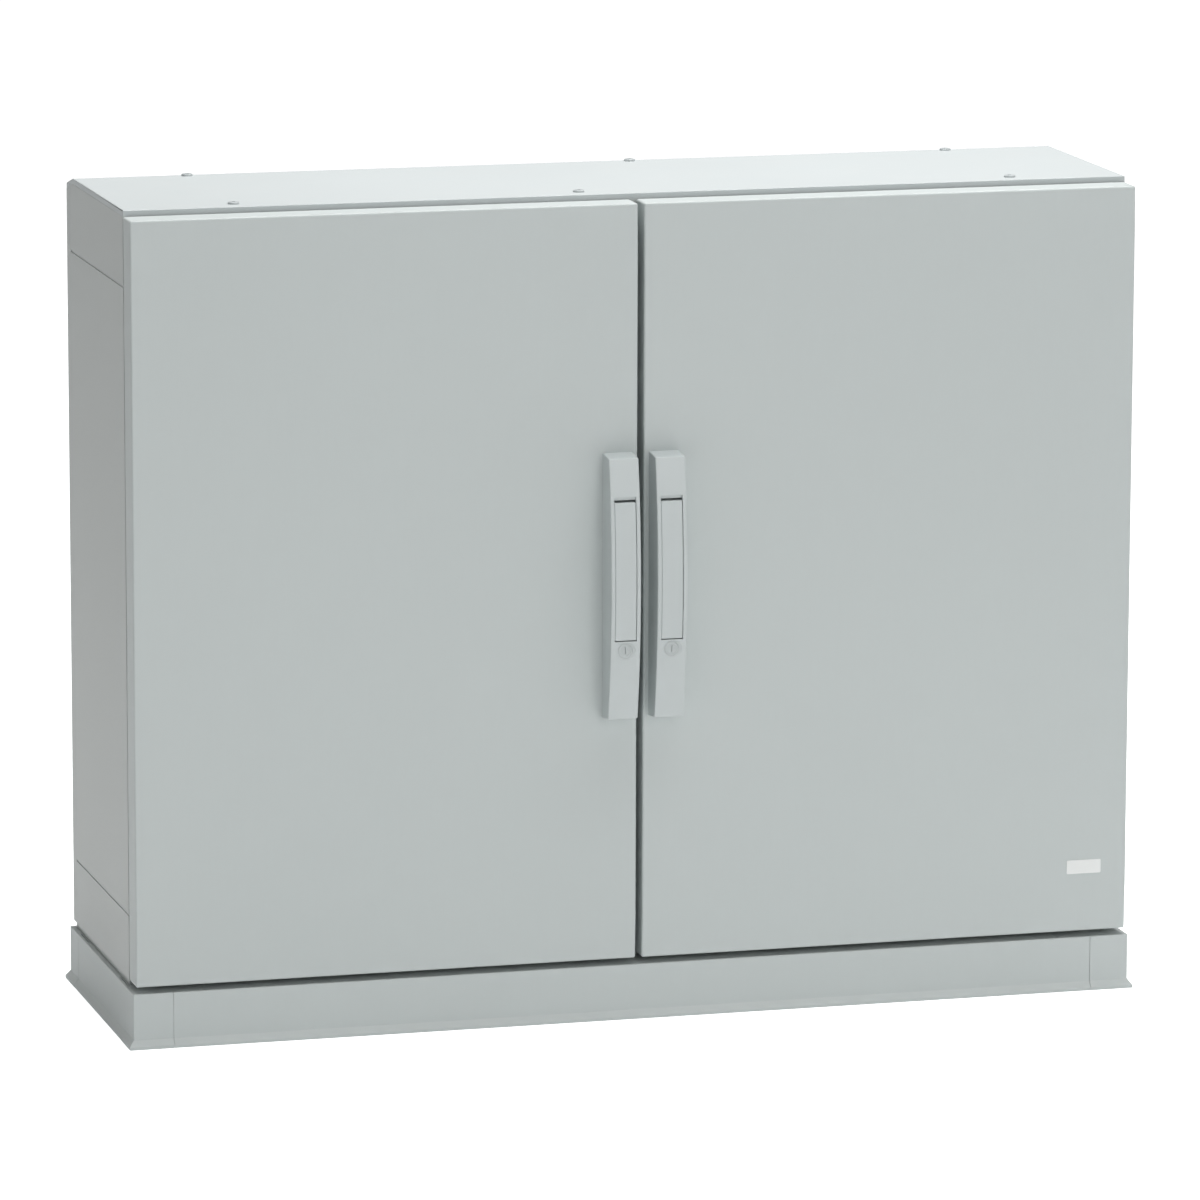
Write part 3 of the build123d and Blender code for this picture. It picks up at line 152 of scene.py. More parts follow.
def sizes():
    """The sizes kept in the scene."""
    return bpy.context.scene.enclosure_sizes


def finish():
    """The colours kept in the scene."""
    return bpy.context.scene.enclosure_finish


# ---------------------------------------------------------------- modelling helpers
def clear_selection():
    """Leaves edit mode and deselects everything."""
    if bpy.context.object and bpy.context.object.mode != "OBJECT":
        bpy.ops.object.mode_set(mode="OBJECT")
    bpy.ops.object.select_all(action="DESELECT")


def make_only(piece):
    """Selects one object and makes it active."""
    clear_selection()
    piece.select_set(True)
    bpy.context.view_layer.objects.active = piece


def edit(piece, kind="FACE"):
    """Opens a piece for editing with nothing selected."""
    make_only(piece)
    bpy.ops.object.mode_set(mode="EDIT")
    bpy.ops.mesh.select_mode(type=kind)
    bpy.ops.mesh.select_all(action="DESELECT")


def pick(piece, kind, test):
    """Selects the vertices, edges or faces that pass a test."""
    bpy.ops.mesh.select_mode(type=kind)
    bpy.ops.mesh.select_all(action="DESELECT")
    mesh = bmesh.from_edit_mesh(piece.data)
    parts = {"VERT": mesh.verts, "EDGE": mesh.edges, "FACE": mesh.faces}[kind]
    chosen = [part for part in parts if test(part)]
    if not chosen:
        raise RuntimeError(f"{piece.name}: nothing passes the test for {kind.lower()}s")
    for part in chosen:
        part.select_set(True)
    bmesh.update_edit_mesh(piece.data)


def near(first, second, slack=0.05 * MM):
    """True if two lengths agree."""
    return abs(first - second) < slack


def block(name, low, high):
    """A block between two corners, with its place in its mesh."""
    low, high = Vector(low), Vector(high)
    clear_selection()
    bpy.ops.mesh.primitive_cube_add(size=1.0, location=(low + high) / 2)
    piece = bpy.context.object
    piece.name = name
    piece.scale = high - low
    bpy.ops.object.transform_apply(location=True, rotation=True, scale=True)
    return piece


def round_bar(name, axis, centre, radius, span, sides=48):
    """A round bar along X, Y or Z through centre, between two places on that axis."""
    index = "XYZ".index(axis)
    place = Vector(centre)
    place[index] = sum(span) / 2
    turn = {"X": (0, math.pi / 2, 0), "Y": (math.pi / 2, 0, 0), "Z": (0, 0, 0)}[axis]
    clear_selection()
    bpy.ops.mesh.primitive_cylinder_add(
        vertices=sides, radius=radius, depth=abs(span[1] - span[0]), location=place, rotation=turn
    )
    piece = bpy.context.object
    piece.name = name
    bpy.ops.object.transform_apply(location=True, rotation=True, scale=True)
    return piece


def cut_plane(axis, place):
    """Cuts the piece being edited along a plane, so that it can bend there."""
    bpy.ops.mesh.select_all(action="SELECT")
    normal = [1.0 if letter == axis else 0.0 for letter in "XYZ"]
    bpy.ops.mesh.bisect(plane_co=[place * part for part in normal], plane_no=normal)


def shift(x=0.0, y=0.0, z=0.0):
    """Moves what is selected."""
    bpy.ops.transform.translate(value=(x, y, z))


def combine(piece, other, operation):
    """Joins or cuts with another closed piece, which is used up."""
    make_only(piece)
    modifier = piece.modifiers.new(operation.lower(), "BOOLEAN")
    modifier.operation = operation
    modifier.solver = "EXACT"
    modifier.object = other
    bpy.ops.object.modifier_apply(modifier=modifier.name)
    bpy.data.objects.remove(other)


def carve(piece, cutter):
    """Cuts a closed piece away."""
    combine(piece, cutter, "DIFFERENCE")


def weld(piece, other):
    """Joins a closed piece on."""
    combine(piece, other, "UNION")


def smooth(piece, angle=35.0):
    """Smooths round faces, keeps corners sharp and holds flat faces flat."""
    make_only(piece)
    bpy.ops.object.shade_smooth_by_angle(angle=math.radians(angle))
    modifier = piece.modifiers.new("flat faces", "WEIGHTED_NORMAL")
    modifier.keep_sharp = True
    modifier.weight = 100
    bpy.ops.object.modifier_apply(modifier=modifier.name)


def mirrored_copy(piece, name):
    """A left-hand copy of a right-hand piece, with its own mesh."""
    copy = bpy.data.objects.new(name, piece.data.copy())
    bpy.context.scene.collection.objects.link(copy)
    edit(copy)
    bpy.ops.mesh.select_all(action="SELECT")
    bpy.ops.transform.resize(value=(-1.0, 1.0, 1.0), center_override=(0.0, 0.0, 0.0))
    bpy.ops.mesh.normals_make_consistent(inside=False)
    clear_selection()
    return copy


def soften(node, radius, segments=2, shortest=6.0 * MM):
    """A copy of a CAD node whose long sharp edges are rounded a little, standing for that node."""
    source = NODES[node]
    piece = bpy.data.objects.new(node + "_moulding", source.data.copy())
    bpy.context.scene.collection.objects.link(piece)
    edit(piece, "VERT")
    bpy.ops.mesh.select_all(action="SELECT")
    bpy.ops.mesh.remove_doubles(threshold=0.005 * MM)
    bpy.ops.mesh.dissolve_limited(angle_limit=math.radians(0.5))
    pick(piece, "EDGE", lambda e: is_long_corner(e, shortest))
    bpy.ops.mesh.bevel(offset=radius, segments=segments, profile=0.5, affect="EDGES", clamp_overlap=True)
    clear_selection()
    smooth(piece)
    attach(piece, source["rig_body"])
    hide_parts(node)
    return piece


def is_long_corner(edge, shortest):
    """True for an edge between two faces that meet at a real corner."""
    if len(edge.link_faces) != 2 or edge.calc_length() < shortest:
        return False
    return edge.calc_face_angle(0.0) > math.radians(30)


def dress(piece, material):
    """Gives a new piece its finish."""
    piece.data.materials.clear()
    piece.data.materials.append(material)


def seat(piece, body, nodes, material):
    """A finished new piece: its body, the CAD nodes it stands for and its finish."""
    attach(piece, body)
    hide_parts(*nodes)
    dress(piece, material)


# ---------------------------------------------------------------- finishes
def new_group(name, inputs, outputs):
    """An empty shader group: inputs maps a name to its default, and Vector is always the first."""
    tree = bpy.data.node_groups.new(name, "ShaderNodeTree")
    tree.interface.new_socket("Vector", in_out="INPUT", socket_type="NodeSocketVector")
    for label, default in inputs.items():
        socket = tree.interface.new_socket(label, in_out="INPUT", socket_type="NodeSocketFloat")
        socket.default_value = default
    for label in outputs:
        tree.interface.new_socket(label, in_out="OUTPUT", socket_type="NodeSocketFloat")
    return tree, tree.nodes.new("NodeGroupInput"), tree.nodes.new("NodeGroupOutput")


def noise(tree, scale, detail=2.0, roughness=0.5):
    """A noise texture in a tree."""
    node = tree.nodes.new("ShaderNodeTexNoise")
    node.inputs["Scale"].default_value = scale
    node.inputs["Detail"].default_value = detail
    node.inputs["Roughness"].default_value = roughness
    return node


def maths(tree, operation, first, second):
    """A math node; each operand is a socket or a number."""
    node = tree.nodes.new("ShaderNodeMath")
    node.operation = operation
    for index, value in enumerate((first, second)):
        if isinstance(value, (int, float)):
            node.inputs[index].default_value = value
        else:
            tree.links.new(value, node.inputs[index])
    return node.outputs[0]


def moulding_group():
    """Pressed polyester: slow tone drift, faint glass fibres and a fine orange-peel skin."""
    name = "Pressed polyester skin"
    if name in bpy.data.node_groups:
        return bpy.data.node_groups[name]
    tree, entry, leave = new_group(name, {"Peel scale": 700.0, "Fibre scale": 160.0}, ("Tone", "Height"))
    drift = noise(tree, 2.2, 3.0)
    fibre = noise(tree, 160.0, 2.0, 0.6)
    peel = noise(tree, 700.0, 1.0)
    stretch = tree.nodes.new("ShaderNodeMapping")
    stretch.inputs["Scale"].default_value = (1.0, 1.0, 0.12)
    tree.links.new(entry.outputs["Vector"], stretch.inputs["Vector"])
    tree.links.new(entry.outputs["Vector"], drift.inputs["Vector"])
    tree.links.new(stretch.outputs["Vector"], fibre.inputs["Vector"])
    tree.links.new(entry.outputs["Vector"], peel.inputs["Vector"])
    tree.links.new(entry.outputs["Fibre scale"], fibre.inputs["Scale"])
    tree.links.new(entry.outputs["Peel scale"], peel.inputs["Scale"])
    slow = maths(tree, "MULTIPLY", drift.outputs["Fac"], 0.75)
    fine = maths(tree, "MULTIPLY", fibre.outputs["Fac"], 0.25)
    tree.links.new(maths(tree, "ADD", slow, fine), leave.inputs["Tone"])
    raised = maths(tree, "MULTIPLY", peel.outputs["Fac"], 0.8)
    threads = maths(tree, "MULTIPLY", fibre.outputs["Fac"], 0.2)
    tree.links.new(maths(tree, "ADD", raised, threads), leave.inputs["Height"])
    return tree


def dust_group():
    """Light dust that settles on faces that look up, broken up by noise."""
    name = "Settled dust"
    if name in bpy.data.node_groups:
        return bpy.data.node_groups[name]
    tree, entry, leave = new_group(name, {"Amount": 0.2}, ("Mask",))
    geometry = tree.nodes.new("ShaderNodeNewGeometry")
    split = tree.nodes.new("ShaderNodeSeparateXYZ")
    tree.links.new(geometry.outputs["Normal"], split.inputs[0])
    cloud = noise(tree, 14.0, 5.0, 0.65)
    tree.links.new(entry.outputs["Vector"], cloud.inputs["Vector"])
    upward = maths(tree, "MAXIMUM", split.outputs["Z"], 0.0)
    patchy = maths(tree, "MULTIPLY", upward, cloud.outputs["Fac"])
    tree.links.new(maths(tree, "MULTIPLY", patchy, entry.outputs["Amount"]), leave.inputs["Mask"])
    return tree


def plating_group():
    """Zinc plating: soft spangle patches with fine rolling lines."""
    name = "Zinc plating"
    if name in bpy.data.node_groups:
        return bpy.data.node_groups[name]
    tree, entry, leave = new_group(name, {"Spangle scale": 90.0, "Line scale": 420.0}, ("Tone", "Height"))
    cells = tree.nodes.new("ShaderNodeTexVoronoi")
    stretch = tree.nodes.new("ShaderNodeMapping")
    stretch.inputs["Scale"].default_value = (1.0, 1.0, 0.04)
    lines = noise(tree, 420.0, 3.0, 0.6)
    tree.links.new(entry.outputs["Vector"], cells.inputs["Vector"])
    tree.links.new(entry.outputs["Vector"], stretch.inputs["Vector"])
    tree.links.new(stretch.outputs["Vector"], lines.inputs["Vector"])
    tree.links.new(entry.outputs["Spangle scale"], cells.inputs["Scale"])
    tree.links.new(entry.outputs["Line scale"], lines.inputs["Scale"])
    patches = tree.nodes.new("ShaderNodeSeparateColor")
    tree.links.new(cells.outputs["Color"], patches.inputs["Color"])
    mixed = maths(tree, "MULTIPLY", patches.outputs["Red"], 0.5)
    streaks = maths(tree, "MULTIPLY", lines.outputs["Fac"], 0.5)
    tree.links.new(maths(tree, "ADD", mixed, streaks), leave.inputs["Tone"])
    tree.links.new(lines.outputs["Fac"], leave.inputs["Height"])
    return tree


class Finish:
    """A node material on object coordinates, built up step by step."""

    def __init__(self, name):
        self.material = bpy.data.materials.new(name)
        self.material.use_nodes = True
        self.tree = self.material.node_tree
        self.shader = self.tree.nodes["Principled BSDF"]
        self.place = self.tree.nodes.new("ShaderNodeTexCoord").outputs["Object"]

    def effect(self, group, **values):
        """Places a shader group; an underscore in a value's name stands for a space."""
        node = self.tree.nodes.new("ShaderNodeGroup")
        node.node_tree = group
        self.tree.links.new(self.place, node.inputs["Vector"])
        for key, value in values.items():
            node.inputs[key.replace("_", " ")].default_value = value
        return node.outputs

    def blend(self, factor, first, second):
        """A colour between two colours; each is a socket or a plain colour."""
        node = self.tree.nodes.new("ShaderNodeMix")
        node.data_type = "RGBA"
        self.tree.links.new(factor, node.inputs["Factor"])
        colours = [socket for socket in node.inputs if socket.type == "RGBA"]
        for socket, value in zip(colours, (first, second)):
            if isinstance(value, bpy.types.NodeSocket):
                self.tree.links.new(value, socket)
            else:
                socket.default_value = (*value, 1.0)
        return next(socket for socket in node.outputs if socket.type == "RGBA")

    def paint(self, socket):
        """Sets the base colour."""
        self.tree.links.new(socket, self.shader.inputs["Base Color"])

    def gloss(self, factor, low, high):
        """Varies the roughness between two values."""
        node = self.tree.nodes.new("ShaderNodeMapRange")
        node.inputs["To Min"].default_value = low
        node.inputs["To Max"].default_value = high
        self.tree.links.new(factor, node.inputs["Value"])
        self.tree.links.new(node.outputs["Result"], self.shader.inputs["Roughness"])

    def relief(self, height, strength, distance):
        """Adds a fine bump."""
        node = self.tree.nodes.new("ShaderNodeBump")
        node.inputs["Strength"].default_value = strength
        node.inputs["Distance"].default_value = distance
        self.tree.links.new(height, node.inputs["Height"])
        self.tree.links.new(node.outputs["Normal"], self.shader.inputs["Normal"])


def scaled(base, factor):
    """A colour made lighter or darker."""
    return tuple(min(1.0, channel * factor) for channel in base)


def polyester(name, base, dust=0.15, peel=700.0):
    """Pressed glass-fibre polyester: satin, with faint fibres, slow drift and settled dust."""
    if name in bpy.data.materials:
        return bpy.data.materials[name]
    made = Finish(name)
    skin = made.effect(moulding_group(), Peel_scale=peel, Fibre_scale=160.0)
    dusty = made.effect(dust_group(), Amount=dust)
    tone = made.blend(skin["Tone"], scaled(base, 0.972), scaled(base, 1.028))
    made.paint(made.blend(dusty["Mask"], tone, (0.66, 0.65, 0.62)))
    made.gloss(skin["Tone"], 0.42, 0.56)
    made.relief(skin["Height"], 0.12, 0.25 * MM)
    made.shader.inputs["Specular IOR Level"].default_value = 0.42
    return made.material


def handle_plastic(name, base):
    """Injection-moulded plastic, smoother and a little glossier than the doors."""
    if name in bpy.data.materials:
        return bpy.data.materials[name]
    made = Finish(name)
    skin = made.effect(moulding_group(), Peel_scale=1400.0, Fibre_scale=60.0)
    made.paint(made.blend(skin["Tone"], scaled(base, 0.985), scaled(base, 1.015)))
    made.gloss(skin["Tone"], 0.34, 0.44)
    made.relief(skin["Height"], 0.08, 0.15 * MM)
    return made.material


def zinc(name, base, rough_low=0.30, rough_high=0.48):
    """Zinc-plated or bright steel with spangle and rolling lines."""
    if name in bpy.data.materials:
        return bpy.data.materials[name]
    made = Finish(name)
    plate = made.effect(plating_group(), Spangle_scale=90.0, Line_scale=420.0)
    made.paint(made.blend(plate["Tone"], scaled(base, 0.86), scaled(base, 1.10)))
    made.gloss(plate["Tone"], rough_low, rough_high)
    made.relief(plate["Height"], 0.10, 0.10 * MM)
    made.shader.inputs["Metallic"].default_value = 1.0
    return made.material


def foam():
    """Closed-cell seal foam: matt black with small pores."""
    if "seal foam" in bpy.data.materials:
        return bpy.data.materials["seal foam"]
    made = Finish("seal foam")
    base = tuple(finish().seal)
    pores = made.tree.nodes.new("ShaderNodeTexVoronoi")
    pores.inputs["Scale"].default_value = 900.0
    made.tree.links.new(made.place, pores.inputs["Vector"])
    made.paint(made.blend(pores.outputs["Distance"], scaled(base, 0.6), scaled(base, 1.5)))
    made.gloss(pores.outputs["Distance"], 0.75, 0.95)
    made.relief(pores.outputs["Distance"], 0.5, 0.4 * MM)
    return made.material


def nylon():
    """Moulded black nylon."""
    if "black nylon" in bpy.data.materials:
        return bpy.data.materials["black nylon"]
    made = Finish("black nylon")
    base = tuple(finish().nylon)
    skin = made.effect(moulding_group(), Peel_scale=1500.0, Fibre_scale=300.0)
    made.paint(made.blend(skin["Tone"], scaled(base, 0.8), scaled(base, 1.3)))
    made.gloss(skin["Tone"], 0.40, 0.60)
    made.relief(skin["Height"], 0.2, 0.2 * MM)
    return made.material


def film():
    """The blank label's film."""
    if "label film" in bpy.data.materials:
        return bpy.data.materials["label film"]
    made = Finish("label film")
    base = tuple(finish().label)
    skin = made.effect(moulding_group(), Peel_scale=2500.0, Fibre_scale=900.0)
    made.paint(made.blend(skin["Tone"], scaled(base, 0.97), scaled(base, 1.01)))
    made.gloss(skin["Tone"], 0.22, 0.32)
    return made.material


def door_finish():
    """The doors' finish."""
    return polyester("door polyester", tuple(finish().door))


def body_finish():
    """The body panels' finish."""
    return polyester("body polyester", tuple(finish().body))


# ---------------------------------------------------------------- doors
DOOR_FLOOR_ROUND = 3.0 * MM
CRANK_SLOT_HALF_WIDTH = 5.0 * MM
CRANK_SLOT_HALF_HEIGHT = 19.5 * MM
OUTER_RIB_SHARE = 0.6


def model_door():
    """The right door: a hollow pan with a rounded edge, falling bands and two upright ribs."""
    size = sizes()
    front, back = DOOR_LOW.y, DOOR_HIGH.y
    door = block("right_door_pan", DOOR_LOW, DOOR_HIGH)
    edit(door)
    pick(door, "FACE", lambda f: f.normal.y > 0.9)
    bpy.ops.mesh.inset(thickness=size.door_rim, depth=0.0)
    depth = back - front - size.door_skin
    bpy.ops.mesh.extrude_region_move(TRANSFORM_OT_translate={"value": (0.0, -depth, 0.0)})
    pick(door, "EDGE", lambda e: is_outer_edge(e, DOOR_LOW, DOOR_HIGH))
    bpy.ops.mesh.bevel(offset=size.door_round, segments=6, profile=0.5, affect="EDGES")
    pick(door, "EDGE", lambda e: is_inner_corner(e, front + size.door_skin))
    bpy.ops.mesh.bevel(offset=DOOR_FLOOR_ROUND, segments=3, profile=0.5, affect="EDGES")
    band_low = DOOR_LOW.z + size.band_height
    band_high = DOOR_HIGH.z - size.band_height
    cut_plane("Z", band_low)
    cut_plane("Z", band_high)
    ribs = (size.rib_place, DOOR_HIGH.x - size.outer_rib_inset)
    for middle in ribs:
        for side in (-1, 1):
            cut_plane("X", middle + side * size.rib_width / 2)
            cut_plane("X", middle + side * (size.rib_width / 2 + size.rib_flank))
    rolled = size.door_round + 0.1 * MM
    low, high = DOOR_LOW.z, DOOR_HIGH.z
    pick(door, "VERT", lambda v: v.co.y < front + rolled and beyond(v.co.z, low, high, rolled))
    shift(y=size.band_fall)
    reach = size.rib_width / 2 + 0.1 * MM
    for middle, rise in zip(ribs, (size.rib_rise, size.rib_rise * OUTER_RIB_SHARE)):
        pick(door, "VERT", lambda v: near(v.co.y, front) and abs(v.co.x - middle) < reach)
        shift(y=-rise)
    clear_selection()
    slot_reach = Vector((CRANK_SLOT_HALF_WIDTH, 0.0, CRANK_SLOT_HALF_HEIGHT))
    slot_low = Vector((LEVER_PIVOT[0], front - CLEAR, LEVER_PIVOT[2])) - slot_reach
    slot_high = Vector((LEVER_PIVOT[0], front + size.door_skin + CLEAR, LEVER_PIVOT[2])) + slot_reach
    carve(door, block("crank slot", slot_low, slot_high))
    return door


def is_outer_edge(edge, low, high):
    """True for the front outline of a block and for its four corners along Y."""
    first, second = (v.co for v in edge.verts)
    on_sides = [all(near(v.co.x, x) for v in edge.verts) for x in (low.x, high.x)]
    on_ends = [all(near(v.co.z, z) for v in edge.verts) for z in (low.z, high.z)]
    at_front = near(first.y, low.y) and near(second.y, low.y)
    corner = any(on_sides) and any(on_ends) and abs(first.y - second.y) > 10 * MM
    return corner or (at_front and (any(on_sides) or any(on_ends)))


def is_inner_corner(edge, floor_y):
    """True for the edges round the floor of the pan and for the pan's inner corners."""
    first, second = (v.co for v in edge.verts)
    return near(first.y, floor_y) or near(second.y, floor_y)


def beyond(value, low, high, margin):
    """True if a value lies within margin of either end, or outside."""
    return value < low + margin or value > high - margin


class ENCLOSURE_OT_doors(bpy.types.Operator):
    """Model the two door pans"""

    bl_idname = "enclosure.doors"
    bl_label = "Doors"

    def execute(self, context):
        right = model_door()
        left = mirrored_copy(right, "left_door_pan")
        for side, door in (("right", right), ("left", left)):
            smooth(door)
            seat(door, side + "_door", [side + "_door_shell"], door_finish())
        return {"FINISHED"}


# ---------------------------------------------------------------- handles, levers and locks
HANDLE_BODY_DEPTH = 20.0 * MM
POCKET_RIM_ROUND = 0.6 * MM
CRANK_ROOM_HALF = 5.0 * MM
CRANK_ROOM_RISE = 22.0 * MM
SCOOP_REACH = (12.5 * MM, 1.5 * MM, 13.5 * MM)
CAM_ROOM_RADIUS = 15.2 * MM
LEVER_EDGE_ROUND = 0.9 * MM
TAIL_HALF_WIDTH = 8.0 * MM
TAIL_DEPTH = 7.0 * MM
TAIL_HEIGHT = 6.0 * MM
NOTCH_DEPTH = 3.4 * MM
NOTCH_HEIGHT = 3.5 * MM
CAM_SLACK = 0.4 * MM
PIN_HOLE_RADIUS = 3.05 * MM
PIN_RADIUS = 3.0 * MM
CRANK_HALF_WIDTH = 4.0 * MM
CRANK_HALF_HEIGHT = 6.0 * MM
LOCK_HUB_RADIUS = 6.0 * MM
CAM_HALF_HEIGHT = 4.0 * MM
CAM_CORNER_ROUND = 2.5 * MM
KEYWAY_HALF_WIDTH = 0.7 * MM
KEYWAY_HALF_HEIGHT = 4.2 * MM
KEYWAY_DEPTH = 1.4 * MM
LOCK_BEVEL = 0.7 * MM
LOCK_BEVEL_RISE = 0.35 * MM
LOCK_RIM = 1.6 * MM
LOCK_STEP = 0.3 * MM
LOCK_FACE_SINK = 0.4 * MM


def bow_height(z):
    """How far the handle's bowed face stands off the door at height z."""
    size = sizes()
    half = (HANDLE_HIGH.z - HANDLE_LOW.z) / 2 - size.handle_draft
    middle = (HANDLE_HIGH.z + HANDLE_LOW.z) / 2
    radius = (half**2 + size.handle_bow**2) / (2 * size.handle_bow)
    full = HANDLE_HIGH.y - HANDLE_LOW.y
    return full - radius + math.sqrt(radius**2 - (z - middle) ** 2)


def bowed_block(name, low, high, sink=0.0, rings=20):
    """A block whose front follows the handle's bow, sink below it."""
    piece = block(name, low, high)
    edit(piece)
    span = high[2] - low[2]
    levels = [low[2] + span * step / rings for step in range(rings + 1)]
    for level in levels[1:-1]:
        cut_plane("Z", level)
    for level in levels:
        pick(piece, "VERT", lambda v: near(v.co.z, level) and near(v.co.y, low[1]))
        shift(y=HANDLE_HIGH.y - bow_height(level) + sink - low[1])
    clear_selection()
    return piece


def round_bowed_edges(piece, low, high, back_y, radius, segments):
    """Rounds the front outline of a bowed block and its four corners along Y."""
    edit(piece)

    def chosen(edge):
        first, second = (v.co for v in edge.verts)
        if near(first.y, back_y) and near(second.y, back_y):
            return False
        side = any(near(first.x, x) and near(second.x, x) for x in (low[0], high[0]))
        end = any(near(first.z, z) and near(second.z, z) for z in (low[2], high[2]))
        along_y = near(first.z, second.z) and near(first.x, second.x)
        if along_y:
            return side and end
        touches_back = near(first.y, back_y) or near(second.y, back_y)
        return (side or end) and not touches_back

    pick(piece, "EDGE", chosen)
    bpy.ops.mesh.bevel(offset=radius, segments=segments, profile=0.5, affect="EDGES")
    clear_selection()


def lever_span():
    """The low and high z of the lever's face."""
    size = sizes()
    low = LEVER_LOW.z
    return low, low + size.lever_reach


def model_housing():
    """The right handle: a bowed body with a pocket for the lever and a scoop for the lock."""
    size = sizes()
    low = (HANDLE_LOW.x, HANDLE_HIGH.y - HANDLE_BODY_DEPTH, HANDLE_LOW.z + size.handle_draft)
    high = (HANDLE_HIGH.x, HANDLE_HIGH.y, HANDLE_HIGH.z - size.handle_draft)
    housing = bowed_block("right_handle_body", low, high, rings=24)
    round_bowed_edges(housing, low, high, HANDLE_HIGH.y, size.handle_round, 4)
    edit(housing)
    for end, way in ((low[2], -1), (high[2], 1)):
        pick(housing, "VERT", lambda v: near(v.co.y, HANDLE_HIGH.y) and near(v.co.z, end, 2 * MM))
        shift(z=way * size.handle_draft)
    clear_selection()
    lever_low, lever_high = lever_span()
    middle = (HANDLE_LOW.x + HANDLE_HIGH.x) / 2
    half = size.lever_width / 2 + size.slit_side
    front, back = HANDLE_LOW.y - 5 * CLEAR, HANDLE_HIGH.y + 5 * CLEAR
    slit_top = lever_high + size.slit_above
    slit_floor = HANDLE_HIGH.y - bow_height(slit_top) + size.slit_depth
    pocket_low = (middle - half, front, lever_low - size.slit_below)
    pocket_high = (middle + half, back, LEVER_PIVOT[2])
    pocket = block("pocket", pocket_low, pocket_high)
    slit_low = (middle - half, front, LEVER_PIVOT[2] - 1 * MM)
    slit_high = (middle + half, slit_floor, slit_top)
    weld(pocket, block("slit", slit_low, slit_high))
    corner_y = HANDLE_HIGH.y - bow_height(lever_high) + size.lever_sink
    corner_path = math.hypot(lever_high - LEVER_PIVOT[2], LEVER_PIVOT[1] - corner_y) + 0.3 * MM
    weld(pocket, round_bar("socket", "X", LEVER_PIVOT, corner_path, (middle - half, middle + half)))
    carve(housing, pocket)
    soften_pocket_rim(housing, pocket_low, slit_high)
    behind_low = (middle - CRANK_ROOM_HALF, LEVER_PIVOT[1] - CLEAR, lever_low)
    behind_high = (middle + CRANK_ROOM_HALF, back, LEVER_PIVOT[2] + CRANK_ROOM_RISE)
    carve(housing, block("crank room", behind_low, behind_high))
    clear_selection()
    face = HANDLE_HIGH.y - bow_height(LOCK_AXIS[2])
    bpy.ops.mesh.primitive_uv_sphere_add(
        segments=48, ring_count=24, radius=1.0, location=(middle, face, LOCK_AXIS[2] - 1.0 * MM)
    )
    scoop = bpy.context.object
    scoop.scale = SCOOP_REACH
    bpy.ops.object.transform_apply(location=True, rotation=True, scale=True)
    carve(housing, scoop)
    bore = (LOCK_HIGH.z - LOCK_LOW.z) / 2 + 0.2 * MM
    carve(housing, round_bar("bore", "Y", (middle, 0, LOCK_AXIS[2]), bore, (front, HANDLE_HIGH.y)))
    room_span = (LOCK_AXIS[1] - CAM_SLACK, back)
    centre = (middle, 0, LOCK_AXIS[2])
    carve(housing, round_bar("cam room", "Y", centre, CAM_ROOM_RADIUS, room_span, 32))
    return housing


def soften_pocket_rim(housing, low, high):
    """Rounds the front rim of the lever's pocket."""
    edit(housing)

    def on_rim(edge):
        for vert in edge.verts:
            place = vert.co
            inside = low[0] - 0.05 * MM < place.x < high[0] + 0.05 * MM
            between = low[2] - 0.05 * MM < place.z < high[2] + 0.05 * MM
            on_face = abs(place.y - (HANDLE_HIGH.y - bow_height(place.z))) < 0.4 * MM
            if not (inside and between and on_face):
                return False
        return edge.calc_face_angle(0.0) > math.radians(40)

    pick(housing, "EDGE", on_rim)
    bpy.ops.mesh.bevel(offset=POCKET_RIM_ROUND, segments=2, affect="EDGES", clamp_overlap=True)
    clear_selection()


def model_lever():
    """The right lever: bowed grip with a finger lip, pivot boss, notched tail and crank."""
    size = sizes()
    lever_low, lever_high = lever_span()
    middle = (HANDLE_LOW.x + HANDLE_HIGH.x) / 2
    half = size.lever_width / 2
    back = HANDLE_HIGH.y - bow_height(lever_low) + size.lever_thickness
    low = (middle - half, back - 4 * MM, lever_low)
    high = (middle + half, back, lever_high)
    lever = bowed_block("right_pull_lever", low, high, sink=size.lever_sink, rings=16)
    round_bowed_edges(lever, low, high, back, LEVER_EDGE_ROUND, 3)
    boss = (middle, LEVER_PIVOT[1], LEVER_PIVOT[2])
    radius = lever_high - LEVER_PIVOT[2]
    weld(lever, round_bar("boss", "X", boss, radius, (low[0] + 0.1 * MM, high[0] - 0.1 * MM)))
    tail_low = (middle - TAIL_HALF_WIDTH, back - 2 * MM, lever_low)
    tail_high = (middle + TAIL_HALF_WIDTH, LOCK_AXIS[1] + TAIL_DEPTH, lever_low + TAIL_HEIGHT)
    weld(lever, block("tail", tail_low, tail_high))
    weld(lever, model_crank(boss))
    notch_half = TAIL_HALF_WIDTH + CLEAR
    notch_low = (middle - notch_half, LOCK_AXIS[1] - CAM_SLACK, lever_low - CLEAR)
    notch_high = (middle + notch_half, LOCK_AXIS[1] + NOTCH_DEPTH, lever_low + NOTCH_HEIGHT)
    carve(lever, block("notch", notch_low, notch_high))
    pin = (PIN_HIGH.x, LEVER_PIVOT[1], LEVER_PIVOT[2])
    pin_span = (low[0] - CLEAR, high[0] + CLEAR)
    carve(lever, round_bar("pin hole", "X", pin, PIN_HOLE_RADIUS, pin_span, 32))
    return lever


